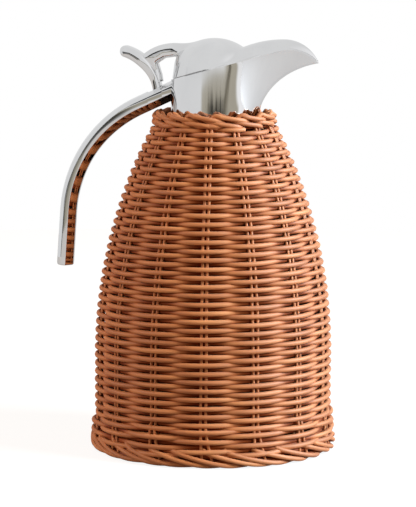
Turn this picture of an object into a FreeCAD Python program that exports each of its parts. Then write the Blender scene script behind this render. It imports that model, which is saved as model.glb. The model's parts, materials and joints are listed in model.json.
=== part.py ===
import FreeCAD, Part
import math
import os

# Insulated jug: a steel vacuum flask in a woven sleeve, with a cast collar and spout,
# an open-ended handle and a hinged lid with a thumb lever. Millimetres, +Z up.
# The origin is on the axis at the surface that the jug stands on, and the spout points along +X.

# Woven sleeve
body_radius = 81.6
shoulder_start = 65.0
weave_thickness = 7.7
wall_top = 222.0
border_height = 9.5
border_width = 8.6
border_corner = 2.6
foot_border_height = 4.2
foot_border_width = 14.3
foot_flare = 3.2
foot_band_top = 27.0
foot_corner = 1.6
woven_base_thickness = 4.0
row_count = 34
row_depth = 1.6
woven_gap = 0.2
wall_top_gap = 5.1

# Vacuum flask
flask_clearance = 0.3
sheet = 0.8
vacuum_gap = 5.0
flask_shoulder_drop = 16.0
neck_height = 20.5
lip_width = 2.0
flask_floor_gap = 8.0
base_dish = 3.0
seal_cap_radius = 5.0
seal_cap_thickness = 1.6

# Collar and spout
collar_radius = 29.6
collar_sink = 7.2
collar_height = 36.7
collar_seat_gap = 0.7
collar_wall = 3.0
keel_base = 7.2
keel_reach = 39.3
spout_length = 41.7
tip_radius = 2.5
tip_thinning = 0.6
nose_sharpness = 3.75
spout_turns = (0, 20, 38, 54, 67, 78, 90)
rim_slope = 15.3
rim_bend_setback = 25.3
rim_bend_radius = 24.2
rim_overrun = 4.2

# Neck ring and gasket
neck_fit = 0.2
gasket_thickness = 2.0
ring_flange = 2.5
ring_skirt_gap = 1.5
ring_skirt = 1.6
mouth_sleeve = 1.0
mouth_depth = 10.0

# Handle
handle_radius = 94.0
handle_root_run = 25.1
handle_root_drop = 12.3
handle_fall = 116.5
handle_root_angle = 115.0
handle_lower_angle = 176.3
handle_half_width = 8.0
handle_root_half_width = 9.8
handle_crown = 4.6
handle_root_crown = 2.6
handle_flank = 6.8
handle_root_flank = 8.4
handle_depth = 11.9
handle_root_depth = 12.6
handle_inner_half_width = 3.5
handle_root_share = 0.6
handle_steps = 5
handle_end_round = 1.2
handle_screw_drop = 7.5
handle_screw_spread = 5.6
handle_screw_radius = 1.5
handle_screw_head_radius = 2.8
handle_screw_head = 1.6
handle_screw_grip = 5.5

# Hinge and thumb lever
hinge_setback = 10.9
hinge_drop = 9.5
barrel_radius = 3.5
barrel_half_width = 5.0
hinge_clearance = 0.35
slot_floor_drop = 1.2
pin_radius = 1.5
pin_clearance = 0.15
pin_half_length = 9.0
lever_foot_offset = 0.9
lever_radius = 31.3
lever_thickness = 5.0
lever_tip_angle = 82.5
lever_foot_angle = 4.0
lever_half_width = 7.5
lever_neck = 8.0
lever_tip_round = 6.6
lever_edge_chamfer = 1.3

# Lid
lid_setback = 2.0
lid_gap = 0.4
lid_wall = 1.8
dome_height = 16.0
dome_side_radius = 13.0
dome_base_rise = 12.5
ridge_crest_setback = 23.3
ridge_crest_rise = 28.2
ridge_back_radius = 75.0
ridge_front_radius = 25.5
beak_setback = 0.7
beak_end_radius = 1.0
beak_sink = 0.15
beak_solid_end = 11.3
beak_steps = 8
arch_half_width = 5.5
arch_root_back = 8.0
arch_root_top_rise = 22.5
arch_root_low_rise = 10.5
arch_crest_forward = 6.5
arch_crest_rise = 24.3
arch_hollow_forward = 7.0
arch_hollow_rise = 15.1
arch_end_back = 13.0
arch_end_rise = 13.5
arch_end_low_back = 4.5
arch_end_low_rise = 5.0
arch_edge_chamfer = 1.8
lid_boss_radius = 5.0
lid_boss_gap = 1.0
liner_thickness = 3.0
liner_recess = 1.0
liner_fit = 0.2

# Stopper
stopper_plug_depth = 9.5
stopper_taper = 1.8
stopper_bore_gap = 1.2
stopper_flange = 2.5
seal_thickness = 2.5
seal_rest_gap = 0.3
seal_overlap = 2.2
stem_radius = 8.0
screw_radius = 2.0
screw_head_radius = 4.0
screw_head = 2.4
screw_grip = 6.0
lever_screw_angle = 41.0
lever_screw_radius = 1.4
lever_screw_head_radius = 2.6
lever_screw_head = 1.4
lever_screw_sink = 0.4
lever_screw_grip = 6.0

# Construction allowances
far = 120.0
overlap = 6.0

# Places that follow from the sizes above
shoulder_drop = body_radius - collar_radius - wall_top_gap - weave_thickness
shoulder_radius = (shoulder_drop ** 2 + (wall_top - shoulder_start) ** 2) / (2 * shoulder_drop)
flask_floor = foot_border_height + woven_base_thickness
flask_shoulder_top = wall_top - flask_shoulder_drop
collar_bottom = wall_top - collar_sink
neck_start = collar_bottom + collar_seat_gap
neck_radius = collar_radius - collar_wall - ring_skirt - 2 * neck_fit
mouth_radius = neck_radius - lip_width - sheet - neck_fit - mouth_sleeve
tip_x = collar_radius + spout_length
rim_bend_x = tip_x - rim_bend_setback
rim_end_x = tip_x + rim_overrun
lid_radius = collar_radius - lid_setback
ridge_crest_x = tip_x - ridge_crest_setback
beak_end_x = tip_x - beak_setback
beak_hollow_end_x = tip_x - beak_solid_end
lip_height = neck_start + neck_height
ring_top = lip_height + gasket_thickness + ring_flange
keel_start = collar_bottom + keel_base
rim_back_height = collar_bottom + collar_height
handle_root_x = -collar_radius - handle_root_run
handle_root_z = rim_back_height - handle_root_drop
handle_end_z = handle_root_z - handle_fall
handle_screw_z = rim_back_height - handle_screw_drop
hinge_x = -collar_radius - hinge_setback
hinge_z = rim_back_height - hinge_drop
lever_center_x = hinge_x + lever_foot_offset - lever_radius * math.cos(math.radians(lever_foot_angle))
lever_center_z = hinge_z - lever_radius * math.sin(math.radians(lever_foot_angle))
dome_base_z = rim_back_height + dome_base_rise
ridge_crest_z = rim_back_height + ridge_crest_rise
stopper_plug_bottom = ring_top - stopper_plug_depth


def point(x, z, y=0.0):
    return FreeCAD.Vector(x, y, z)


def line(a, b):
    return Part.LineSegment(a, b).toShape()


def arc(a, middle, b):
    return Part.Arc(a, middle, b).toShape()


def polyline(points):
    return [line(a, b) for a, b in zip(points, points[1:])]


def revolve(edges):
    face = Part.Face(Part.Wire(edges))
    return face.revolve(FreeCAD.Vector(), FreeCAD.Vector(0, 0, 1), 360)


def turned(profile):
    """A turned solid from corners given as (radius, height)."""
    corners = [point(r, z) for r, z in profile]
    return revolve(polyline(corners + corners[:1]))


def rod(start, end, radius):
    along = end - start
    return Part.makeCylinder(radius, along.Length, start, along)


def across(edges, half_width):
    """A plate from an outline in the XZ plane, spread evenly about the middle plane."""
    face = Part.Face(Part.Wire(edges))
    face.translate(FreeCAD.Vector(0, -half_width, 0))
    return face.extrude(FreeCAD.Vector(0, 2 * half_width, 0))


def sleeve_radius(offset, z):
    """Radius of the sleeve's outline moved inwards by offset, at height z."""
    if z <= shoulder_start:
        return body_radius - offset
    turn = shoulder_radius - offset
    return body_radius - shoulder_radius + math.sqrt(turn ** 2 - (z - shoulder_start) ** 2)


def sleeve_line(offset, low, high):
    """The sleeve's outline from low to high: an upright stretch and the shoulder's arc."""
    middle = (shoulder_start + high) / 2
    corner = point(sleeve_radius(offset, shoulder_start), shoulder_start)
    upright = line(point(sleeve_radius(offset, low), low), corner)
    curve = arc(
        corner,
        point(sleeve_radius(offset, middle), middle),
        point(sleeve_radius(offset, high), high),
    )
    return [upright, curve]


def ends(edges):
    wire = Part.Wire(edges)
    return wire.OrderedVertexes[0].Point, wire.OrderedVertexes[-1].Point


def shell_between(outer, inner):
    """A turned wall between two open outlines that run the same way."""
    outer_low, outer_high = ends(outer)
    inner_low, inner_high = ends(inner)
    return revolve(outer + [line(outer_high, inner_high)] + inner[::-1] + [line(inner_low, outer_low)])


def rounded_ring(inner, outer, low, high, corner):
    ring = turned([(inner, low), (outer, low), (outer, high), (inner, high)])
    circles = [e for e in ring.Edges if isinstance(e.Curve, Part.Circle)]
    round_edges = [e for e in circles if e.CenterOfMass.z > low + corner]
    return ring.makeFillet(corner, round_edges)


def woven_rows():
    """The woven wall's outline: plain behind the foot band, then a round ridge for each raised row."""
    pitch = (wall_top - foot_band_top) / row_count

    def at(depth, z):
        return point(sleeve_radius(depth, z), z)

    rows = [line(at(row_depth, foot_border_height), at(row_depth, foot_band_top))]
    for row in range(row_count):
        low = foot_band_top + row * pitch
        high = low + pitch
        rows.append(arc(at(row_depth, low), at(0.0, (low + high) / 2), at(row_depth, high)))
    return rows


def wicker_wall():
    outer = woven_rows()
    inner = sleeve_line(weave_thickness, foot_border_height, wall_top)
    return shell_between(outer, inner)


def wicker_top_border():
    inner = sleeve_radius(weave_thickness, wall_top) + woven_gap
    return rounded_ring(inner, inner + border_width, wall_top, wall_top + border_height, border_corner)


def wicker_foot_band():
    inner = body_radius - row_depth + woven_gap
    ring = turned([
        (inner, foot_border_height),
        (body_radius + foot_flare + woven_gap, foot_border_height),
        (body_radius + foot_flare, foot_band_top),
        (inner, foot_band_top),
    ])
    top = [e for e in ring.Edges if e.BoundBox.ZMin > foot_band_top - woven_gap]
    outer_top = max(top, key=lambda e: e.BoundBox.XLength)
    return ring.makeFillet(foot_corner, [outer_top])


def wicker_foot_border():
    outer = body_radius + foot_flare
    ring = turned([
        (outer - foot_border_width, 0.0),
        (outer, 0.0),
        (outer, foot_border_height),
        (outer - foot_border_width, foot_border_height),
    ])
    low = [e for e in ring.Edges if e.BoundBox.ZMax < woven_gap and isinstance(e.Curve, Part.Circle)]
    return ring.makeFillet(foot_corner, low)


def wicker_base():
    radius = body_radius - weave_thickness - woven_gap
    return Part.makeCylinder(radius, woven_base_thickness - woven_gap, point(0, foot_border_height))


def flask_outline(inset):
    """The flask's wall moved inwards by inset, from the floor to the lip."""
    offset = weave_thickness + flask_clearance + inset
    low = flask_floor + inset
    body = sleeve_line(offset, low, flask_shoulder_top)
    top = ends(body)[1]
    neck = neck_radius - inset
    return body + polyline([top, point(neck, neck_start - inset / 2), point(neck, lip_height)])


def outer_jacket():
    outer = flask_outline(0.0)
    inner = flask_outline(sheet)
    jacket = shell_between(outer, inner)
    lip = Part.makeCylinder(far, far, point(0, lip_height - sheet))
    return jacket.cut(lip)


def jacket_base():
    radius = sleeve_radius(weave_thickness + flask_clearance + sheet, shoulder_start)
    low = flask_floor + sheet
    disc = turned([
        (seal_cap_radius, low + base_dish),
        (radius - 2 * base_dish, low + base_dish),
        (radius - base_dish, low),
        (radius, low),
        (radius, low + sheet),
        (radius - base_dish + sheet / 2, low + sheet),
        (radius - 2 * base_dish + sheet / 2, low + base_dish + sheet),
        (seal_cap_radius, low + base_dish + sheet),
    ])
    return disc


def vacuum_seal_cap():
    low = flask_floor + sheet + base_dish - (seal_cap_thickness - sheet)
    return Part.makeCylinder(seal_cap_radius, seal_cap_thickness, point(0, low))


def inner_vessel():
    inset = sheet + vacuum_gap
    offset = weave_thickness + flask_clearance + inset
    floor = flask_floor + flask_floor_gap
    neck = neck_radius - lip_width
    outer = sleeve_line(offset, floor, flask_shoulder_top)
    inner = sleeve_line(offset + sheet, floor + sheet, flask_shoulder_top - sheet)
    outer_top = ends(outer)[1]
    inner_low, inner_top = ends(inner)
    outer_low = ends(outer)[0]
    edges = [line(point(0, floor), outer_low)] + outer
    edges += polyline([
        outer_top,
        point(neck, neck_start - inset / 2),
        point(neck, lip_height - sheet),
        point(neck_radius, lip_height - sheet),
        point(neck_radius, lip_height),
        point(neck - sheet, lip_height),
        point(neck - sheet, neck_start - inset / 2 - sheet / 2),
        inner_top,
    ])
    edges += inner[::-1]
    edges += polyline([inner_low, point(0, floor + sheet), point(0, floor)])
    return revolve(edges)


def neck_gasket():
    inner = neck_radius - lip_width - sheet
    return turned([
        (inner, lip_height),
        (neck_radius, lip_height),
        (neck_radius, lip_height + gasket_thickness),
        (inner, lip_height + gasket_thickness),
    ])


def neck_ring():
    outer = collar_radius - collar_wall - neck_fit
    skirt = neck_radius + neck_fit
    under = lip_height + gasket_thickness
    return turned([
        (mouth_radius, under - mouth_depth),
        (mouth_radius + mouth_sleeve, under - mouth_depth),
        (mouth_radius + mouth_sleeve, under),
        (skirt, under),
        (skirt, neck_start + ring_skirt_gap),
        (outer, neck_start + ring_skirt_gap),
        (outer, ring_top),
        (mouth_radius, ring_top),
    ])


def drop_outline(radius, nose_x, nose_radius, z):
    """A drop-shaped outline: a round back about the axis, straight flanks and a round nose."""
    nose_center = nose_x - nose_radius
    lean = math.asin((radius - nose_radius) / nose_center)
    back = point(radius * math.sin(lean), z, radius * math.cos(lean))
    front = point(nose_center + nose_radius * math.sin(lean), z, nose_radius * math.cos(lean))
    back_mirror = FreeCAD.Vector(back.x, -back.y, z)
    front_mirror = FreeCAD.Vector(front.x, -front.y, z)
    return Part.Wire([
        arc(back, point(-radius, z), back_mirror),
        line(back_mirror, front_mirror),
        arc(front_mirror, point(nose_x, z), front),
        line(front, back),
    ])


def spout_form(inset):
    """The collar's outside moved inwards by inset, from its foot to above the rim."""
    radius = collar_radius - inset
    reach = keel_reach + inset
    rise = rim_height(tip_x) - keel_start + inset
    nose_start = radius - tip_radius
    sections = [drop_outline(radius, tip_x - reach, nose_start, collar_bottom - inset)]
    for turn in spout_turns:
        u = math.radians(turn)
        nose_x = tip_x - reach * math.cos(u)
        nose_radius = tip_radius + (nose_start - tip_radius) * math.cos(u) ** nose_sharpness
        nose_radius -= tip_thinning * inset * math.sin(u)
        sections.append(drop_outline(radius, nose_x, nose_radius, keel_start + rise * math.sin(u)))
    top_nose = tip_radius - tip_thinning * inset
    sections.append(drop_outline(radius, tip_x + overlap / 2, top_nose, keel_start + rise + 2 * overlap))
    return Part.makeLoft(sections, True, False)


def rim_height(x):
    """Height of the rim's profile at x: a straight slope that bends over towards the tip."""
    slope = math.radians(rim_slope)
    bend_z = rim_back_height + (rim_bend_x + collar_radius) * math.tan(slope)
    if x <= rim_bend_x:
        return rim_back_height + (x + collar_radius) * math.tan(slope)
    center_x = rim_bend_x + rim_bend_radius * math.sin(slope)
    center_z = bend_z - rim_bend_radius * math.cos(slope)
    return center_z + math.sqrt(rim_bend_radius ** 2 - (x - center_x) ** 2)


def below_rim(lift):
    """Everything below the rim's profile moved up by lift."""
    middle_x = (rim_bend_x + rim_end_x) / 2
    start = point(-far, rim_height(-far) + lift)
    bend = point(rim_bend_x, rim_height(rim_bend_x) + lift)
    middle = point(middle_x, rim_height(middle_x) + lift)
    end = point(rim_end_x, rim_height(rim_end_x) + lift)
    low_end = point(rim_end_x, 0)
    low_start = point(-far, 0)
    edges = [line(start, bend), arc(bend, middle, end)] + polyline([end, low_end, low_start, start])
    return across(edges, far)


def collar():
    shell = spout_form(0.0).cut(spout_form(collar_wall))
    shell = shell.common(below_rim(0.0))
    for hole in handle_screw_holes():
        shell = shell.cut(hole)
    return shell


def handle_station(angle):
    """Place on the handle's outer line and the directions towards the fingers and the root."""
    start = math.radians(handle_root_angle)
    t = math.radians(angle)
    center = point(handle_root_x, handle_root_z) - point(math.cos(start), math.sin(start)) * handle_radius
    outward = point(math.cos(t), math.sin(t))
    return center + outward * handle_radius, outward * -1, point(math.sin(t), -math.cos(t))


def between(end, root, share):
    return end + (root - end) * share


def handle_section(place, inward, share):
    """The handle's section from end (0) to root (1): crowned outside, flat flanks, bevelled inside."""
    half = between(handle_half_width, handle_root_half_width, share)
    crown = between(handle_crown, handle_root_crown, share)
    flank = between(handle_flank, handle_root_flank, share)
    depth = between(handle_depth, handle_root_depth, share)

    def at(y, d):
        return place + inward * d + FreeCAD.Vector(0, y, 0)

    top = arc(at(-half, crown), at(0, 0), at(half, crown))
    corners = [
        at(half, crown),
        at(half, flank),
        at(handle_inner_half_width, depth),
        at(-handle_inner_half_width, depth),
        at(-half, flank),
        at(-half, crown),
    ]
    return Part.Wire([top] + polyline(corners))


def handle_sections():
    root, root_inward, to_root = handle_station(handle_root_angle)
    low, low_inward, from_end = handle_station(handle_lower_angle)
    root_run = (-collar_radius + overlap - root.x) / to_root.x
    low_run = (low.z - handle_end_z) / from_end.z
    sections = []
    for run in (root_run, root_run / 2):
        sections.append(handle_section(root + to_root * run, root_inward, 1.0))
    turn = handle_lower_angle - handle_root_angle
    for step in range(handle_steps + 1):
        done = step / handle_steps
        share = max(0.0, 1.0 - done / handle_root_share)
        place, inward, along = handle_station(handle_root_angle + turn * done)
        sections.append(handle_section(place, inward, share * share * (3 - 2 * share)))
    for run in (low_run / 2, low_run):
        sections.append(handle_section(low - from_end * run, low_inward, 0.0))
    return sections


def hinge_axis(half_length, radius):
    return rod(point(hinge_x, hinge_z, -half_length), point(hinge_x, hinge_z, half_length), radius)


def hinge_slot():
    """Room in the handle's root for the lever's barrel and foot."""
    half = barrel_half_width + hinge_clearance
    radius = barrel_radius + hinge_clearance
    rear = hinge_x - radius - lever_thickness / 2
    floor = hinge_z - slot_floor_drop
    opening = Part.makeBox(hinge_x + radius - rear, 2 * half, far, FreeCAD.Vector(rear, -half, floor))
    return hinge_axis(half, radius).fuse(opening)


def handle_screw_lines():
    inside = -(collar_radius - collar_wall)
    for y in (-handle_screw_spread, handle_screw_spread):
        yield point(inside, handle_screw_z, y), point(-collar_radius - handle_screw_grip, handle_screw_z, y)


def handle_screw_holes():
    return [rod(point(0, a.z, a.y), b, handle_screw_radius) for a, b in handle_screw_lines()]


def handle():
    bar = Part.makeLoft(handle_sections(), True, False)
    end_edges = [e for e in bar.Edges if e.BoundBox.ZMax < handle_end_z + handle_end_round]
    bar = bar.makeFillet(handle_end_round, end_edges)
    bar = bar.cut(spout_form(0.0)).cut(hinge_slot())
    bar = bar.cut(hinge_axis(pin_half_length, pin_radius))
    for hole in handle_screw_holes():
        bar = bar.cut(hole)
    return bar


def handle_screws():
    screws = []
    for inside, tip in handle_screw_lines():
        reach = abs(inside.y) + handle_screw_head_radius
        seat = point(-math.sqrt(inside.x ** 2 - reach ** 2), inside.z, inside.y)
        head = rod(seat, seat + point(handle_screw_head, 0), handle_screw_head_radius)
        screws.append(head.fuse(rod(seat, tip, handle_screw_radius)).removeSplitter())
    return Part.makeCompound(screws)


def hinge_pin():
    return hinge_axis(pin_half_length, pin_radius)


def lever_point(radius, angle):
    t = math.radians(angle)
    return point(lever_center_x + radius * math.cos(t), lever_center_z + radius * math.sin(t))


def lever_outline(inner, outer, low, high):
    middle = (low + high) / 2
    return [
        arc(lever_point(outer, low), lever_point(outer, middle), lever_point(outer, high)),
        line(lever_point(outer, high), lever_point(inner, high)),
        arc(lever_point(inner, high), lever_point(inner, middle), lever_point(inner, low)),
        line(lever_point(inner, low), lever_point(outer, low)),
    ]


def lever_blade():
    """The curved thumb piece: wide at its round tip and drawn in to the barrel's width at its foot."""
    outer = lever_radius + lever_thickness / 2
    inner = lever_radius - lever_thickness / 2
    blade = across(lever_outline(inner, outer, lever_foot_angle, lever_tip_angle), lever_half_width)
    foot = lever_point(lever_radius, lever_foot_angle)
    middle = lever_point(lever_radius, (lever_foot_angle + lever_tip_angle) / 2)
    for side in (-1, 1):
        foot_y = side * barrel_half_width
        wide_y = side * lever_half_width
        wedge = Part.makePolygon([
            FreeCAD.Vector(far, foot_y, foot.z - far),
            FreeCAD.Vector(far, foot_y, foot.z + lever_neck),
            FreeCAD.Vector(far, wide_y, middle.z),
            FreeCAD.Vector(far, 2 * wide_y, middle.z),
            FreeCAD.Vector(far, 2 * wide_y, foot.z - far),
            FreeCAD.Vector(far, foot_y, foot.z - far),
        ])
        blade = blade.cut(Part.Face(wedge).extrude(FreeCAD.Vector(-2 * far, 0, 0)))
    tip = lever_point(lever_radius, lever_tip_angle)
    upright = [e for e in blade.Edges if e.BoundBox.YLength < pin_clearance]
    corners = [e for e in upright if abs(e.CenterOfMass.x - tip.x) < pin_clearance]
    blade = blade.makeFillet(lever_tip_round, corners)
    long_edges = [e for e in blade.Edges if e.Length > lever_tip_round]
    rims = [e for e in long_edges if e.CenterOfMass.z > foot.z + lever_thickness]
    return blade.makeChamfer(lever_edge_chamfer, rims)


def thumb_lever():
    lever = lever_blade().fuse(hinge_axis(barrel_half_width, barrel_radius)).removeSplitter()
    lever = lever.cut(hinge_axis(far, pin_radius + pin_clearance))
    inner = lever_radius - lever_thickness / 2
    mouth = lever_point(inner - lever_thickness, lever_screw_angle)
    seat = lever_point(inner + lever_screw_sink, lever_screw_angle)
    return lever.cut(rod(mouth, seat, lever_screw_head_radius)).cut(lever_screw_shape())


def lever_screw_shape():
    """A countersunk screw through the lever into the arch, its head sunk in the lever's hollow side."""
    inner = lever_radius - lever_thickness / 2
    outer = lever_radius + lever_thickness / 2
    seat = lever_point(inner + lever_screw_sink, lever_screw_angle)
    under = lever_point(inner + lever_screw_sink + lever_screw_head, lever_screw_angle)
    tip = lever_point(outer + lever_screw_grip, lever_screw_angle)
    along = tip - seat
    head = Part.makeCone(lever_screw_head_radius, lever_screw_radius, lever_screw_head, seat, along)
    return head.fuse(rod(under, tip, lever_screw_radius)).removeSplitter()


def lever_screw():
    return lever_screw_shape()


def ridge_height(x):
    """Height of the lid's ridge over the spout: a long rise to the crest, then a round fall to the tip."""
    radius = ridge_back_radius if x < ridge_crest_x else ridge_front_radius
    return ridge_crest_z - radius + math.sqrt(radius ** 2 - (x - ridge_crest_x) ** 2)


def beak_form(inset, start, stop):
    """The arched cover over the spout from start to stop, moved inwards by inset."""
    radius = lid_radius - beak_sink - inset
    center = beak_end_x - beak_end_radius
    lean = math.asin((lid_radius - beak_sink - beak_end_radius) / center)
    sections = []
    for step in range(beak_steps + 1):
        x = start + (stop - start) * math.sin(step / beak_steps * math.pi / 2)
        half = radius / math.cos(lean) - x * math.tan(lean)
        edge = rim_height(x) + lid_gap
        left = point(x, edge, -half)
        right = point(x, edge, half)
        left_low = point(x, edge - overlap, -half)
        right_low = point(x, edge - overlap, half)
        crown = arc(left, point(x, ridge_height(x) - inset), right)
        sections.append(Part.Wire([crown] + polyline([right, right_low, left_low, left])))
    return Part.makeLoft(sections, True, False)


def beak():
    center = beak_end_x - beak_end_radius
    start = (lid_radius - beak_sink) * (lid_radius - beak_sink - beak_end_radius) / center
    return beak_form(0.0, start, center)


def beak_hollow():
    return beak_form(lid_wall, lid_radius + lid_wall, beak_hollow_end_x)


def polar(center, radius, angle):
    return center + point(math.cos(angle), math.sin(angle)) * radius


def dome_form(inset):
    """The lid's round dome on its upright skirt, moved inwards by inset."""
    reach = lid_radius - dome_side_radius
    rise = dome_height - dome_side_radius
    crown_radius = dome_side_radius + (reach ** 2 + rise ** 2) / (2 * rise)
    side_center = point(reach, dome_base_z)
    crown_center = point(0, dome_base_z + dome_height - crown_radius)
    meet = math.atan2(side_center.z - crown_center.z, reach)
    side = dome_side_radius - inset
    crown = crown_radius - inset
    top = math.pi / 2
    skirt_low = point(lid_radius - inset, rim_back_height - overlap)
    skirt_top = polar(side_center, side, 0)
    shoulder = polar(side_center, side, meet)
    peak = polar(crown_center, crown, top)
    low = point(0, skirt_low.z)
    form = revolve([
        line(low, skirt_low),
        line(skirt_low, skirt_top),
        arc(skirt_top, polar(side_center, side, meet / 2), shoulder),
        arc(shoulder, polar(crown_center, crown, (meet + top) / 2), peak),
        line(peak, low),
    ])
    form.rotate(FreeCAD.Vector(), FreeCAD.Vector(0, 0, 1), 90)
    return form


def arch():
    """The bridge from the dome's crown back to the thumb lever."""
    root_top = point(-arch_root_back, rim_back_height + arch_root_top_rise)
    root_low = point(-arch_root_back, rim_back_height + arch_root_low_rise)
    end_top = point(hinge_x - arch_end_back, rim_back_height + arch_end_rise)
    end_low = point(hinge_x - arch_end_low_back, rim_back_height + arch_end_low_rise)
    crest = point(hinge_x + arch_crest_forward, rim_back_height + arch_crest_rise)
    hollow = point(hinge_x + arch_hollow_forward, rim_back_height + arch_hollow_rise)
    top = arc(root_top, crest, end_top)
    bottom = arc(end_low, hollow, root_low)
    edges = [top, line(end_top, end_low), bottom, line(root_low, root_top)]
    plate = across(edges, arch_half_width)
    long_edges = [e for e in plate.Edges if e.Length > 3 * arch_half_width]
    plate = plate.makeChamfer(arch_edge_chamfer, long_edges)
    left = point(lever_center_x, lever_center_z, -far)
    right = point(lever_center_x, lever_center_z, far)
    return plate.cut(rod(left, right, lever_radius + lever_thickness / 2))


def lid_cover():
    cover = dome_form(0.0).fuse([beak(), arch()])
    cover = cover.cut(dome_form(lid_wall)).cut(beak_hollow())
    boss = Part.makeCylinder(lid_boss_radius, dome_height, point(0, dome_base_z))
    boss = boss.common(dome_form(lid_wall / 2))
    liner_room = Part.makeCylinder(lid_boss_radius + lid_boss_gap, 2 * far + far, point(0, 0))
    cover = cover.fuse(boss).cut(below_rim(lid_gap))
    cover = cover.cut(below_rim(liner_recess + liner_thickness).common(liner_room))
    return cover.cut(stopper_screw_shape()).cut(lever_screw_shape())


def lid_liner():
    disc = dome_form(lid_wall + liner_fit).common(below_rim(liner_recess + liner_thickness))
    disc = disc.cut(below_rim(liner_recess))
    return disc.cut(stopper_screw_shape())


def stopper():
    top = ring_top + seal_rest_gap
    plug = mouth_radius - stopper_bore_gap
    flange = mouth_radius + seal_overlap
    body = turned([
        (0, stopper_plug_bottom),
        (plug - stopper_taper, stopper_plug_bottom),
        (plug, top),
        (plug, top + seal_thickness),
        (flange, top + seal_thickness),
        (flange, top + seal_thickness + stopper_flange),
        (stem_radius, top + seal_thickness + stopper_flange),
        (stem_radius, far * 3),
        (0, far * 3),
    ])
    return body.common(below_rim(liner_recess)).cut(stopper_screw_shape())


def stopper_seal():
    top = ring_top + seal_rest_gap
    plug = mouth_radius - stopper_bore_gap
    flange = mouth_radius + seal_overlap
    return turned([(plug, top), (flange, top), (flange, top + seal_thickness), (plug, top + seal_thickness)])


def stopper_screw_shape():
    """The long screw that holds the stopper and the liner to the lid, its head flush below."""
    seat = point(0, stopper_plug_bottom)
    tip = point(0, rim_height(0) + liner_recess + liner_thickness + screw_grip)
    head = Part.makeCylinder(screw_head_radius, screw_head, seat)
    return head.fuse(rod(seat, tip, screw_radius)).removeSplitter()


def stopper_screw():
    return stopper_screw_shape()


PIECES = [
    wicker_wall, wicker_top_border, wicker_foot_band, wicker_foot_border, wicker_base,
    outer_jacket, jacket_base, vacuum_seal_cap, inner_vessel, neck_gasket, neck_ring,
    collar, handle, handle_screws, hinge_pin,
    lid_cover, lid_liner, stopper, stopper_seal, stopper_screw, thumb_lever, lever_screw,
]

os.makedirs("parts", exist_ok=True)
for piece in PIECES:
    shape = piece()
    print(piece.__name__, len(shape.Solids), shape.isValid(), round(shape.Volume))
    shape.exportStep("parts/" + piece.__name__ + ".step")
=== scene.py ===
import json
import math

import bmesh
import bpy
import numpy as np
from mathutils import Matrix, Vector

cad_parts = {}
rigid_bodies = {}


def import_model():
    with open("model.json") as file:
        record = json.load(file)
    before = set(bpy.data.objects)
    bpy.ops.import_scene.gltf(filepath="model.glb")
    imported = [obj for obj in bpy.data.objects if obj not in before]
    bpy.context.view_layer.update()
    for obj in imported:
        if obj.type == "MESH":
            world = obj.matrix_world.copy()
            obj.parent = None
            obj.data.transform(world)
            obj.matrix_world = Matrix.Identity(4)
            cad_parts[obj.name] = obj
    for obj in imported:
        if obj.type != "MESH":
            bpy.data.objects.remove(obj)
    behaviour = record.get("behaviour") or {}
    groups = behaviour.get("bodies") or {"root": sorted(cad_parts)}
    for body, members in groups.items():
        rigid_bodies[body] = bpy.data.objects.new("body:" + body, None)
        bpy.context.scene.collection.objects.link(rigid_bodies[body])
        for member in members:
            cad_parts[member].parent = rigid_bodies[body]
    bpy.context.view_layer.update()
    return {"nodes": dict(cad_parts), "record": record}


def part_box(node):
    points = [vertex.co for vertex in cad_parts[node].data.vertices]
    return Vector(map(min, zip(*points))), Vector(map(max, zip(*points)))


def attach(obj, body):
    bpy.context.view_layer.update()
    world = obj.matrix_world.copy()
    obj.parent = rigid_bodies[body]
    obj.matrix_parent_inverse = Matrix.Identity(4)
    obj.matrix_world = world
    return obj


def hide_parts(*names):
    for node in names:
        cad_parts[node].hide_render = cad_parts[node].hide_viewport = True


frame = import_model()

# Looks of an insulated jug in a woven cane sleeve. Sizes are in millimetres, +Z up, spout along +X.
MM = 0.001
TINY = 1e-6


def node_box(node):
    """Lowest and highest corner of a CAD node, in millimetres."""
    low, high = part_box(node)
    return np.array(low) / MM, np.array(high) / MM


wall_high = node_box("wicker_wall")[1]
border_high = node_box("wicker_top_border")[1]
band_high = node_box("wicker_foot_band")[1]
base_low, base_high = node_box("wicker_base")
collar_low, collar_high = node_box("collar")

# Photograph in pixels, and camera
PHOTO_HEIGHT = 507
FOCAL_PIXELS = 2550.0
SENSOR = 36.0
CAMERA_AZIMUTH = 12.0
CAMERA_DISTANCE = 1730.0
CAMERA_HEIGHT = 350.0
CAMERA_ROLL = 0.26
AIM_HEIGHT = 133.0
AIM_LEFT = 4.0

# Form of the woven wall
BODY_RADIUS = wall_high[0]
WALL_TOP = wall_high[2]
SHOULDER_START = 65.0
WEAVE_THICKNESS = 7.7
WALL_TOP_GAP = 5.1
COLLAR_RADIUS = collar_high[1]
WALL_TOP_RADIUS = COLLAR_RADIUS + WALL_TOP_GAP + WEAVE_THICKNESS
BOX_CLEARANCE = 0.3

# Pairs of stakes
STAKE_PAIRS = 14
FIRST_STAKE = -82.75
STAKE_ANGLES = np.radians(FIRST_STAKE + np.arange(STAKE_PAIRS) * 360.0 / STAKE_PAIRS)
BACK_STAKE = 7
STAKE_DIAMETER = 2.0
STAKE_SPREAD = 3.3
STAKE_CLOSING = 0.25
STAKE_WANDER = (0.25, 25.0)
STAKE_BELOW = 4.0
STAKE_ABOVE = 1.0
STAKE_POINTS = 90

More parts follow.
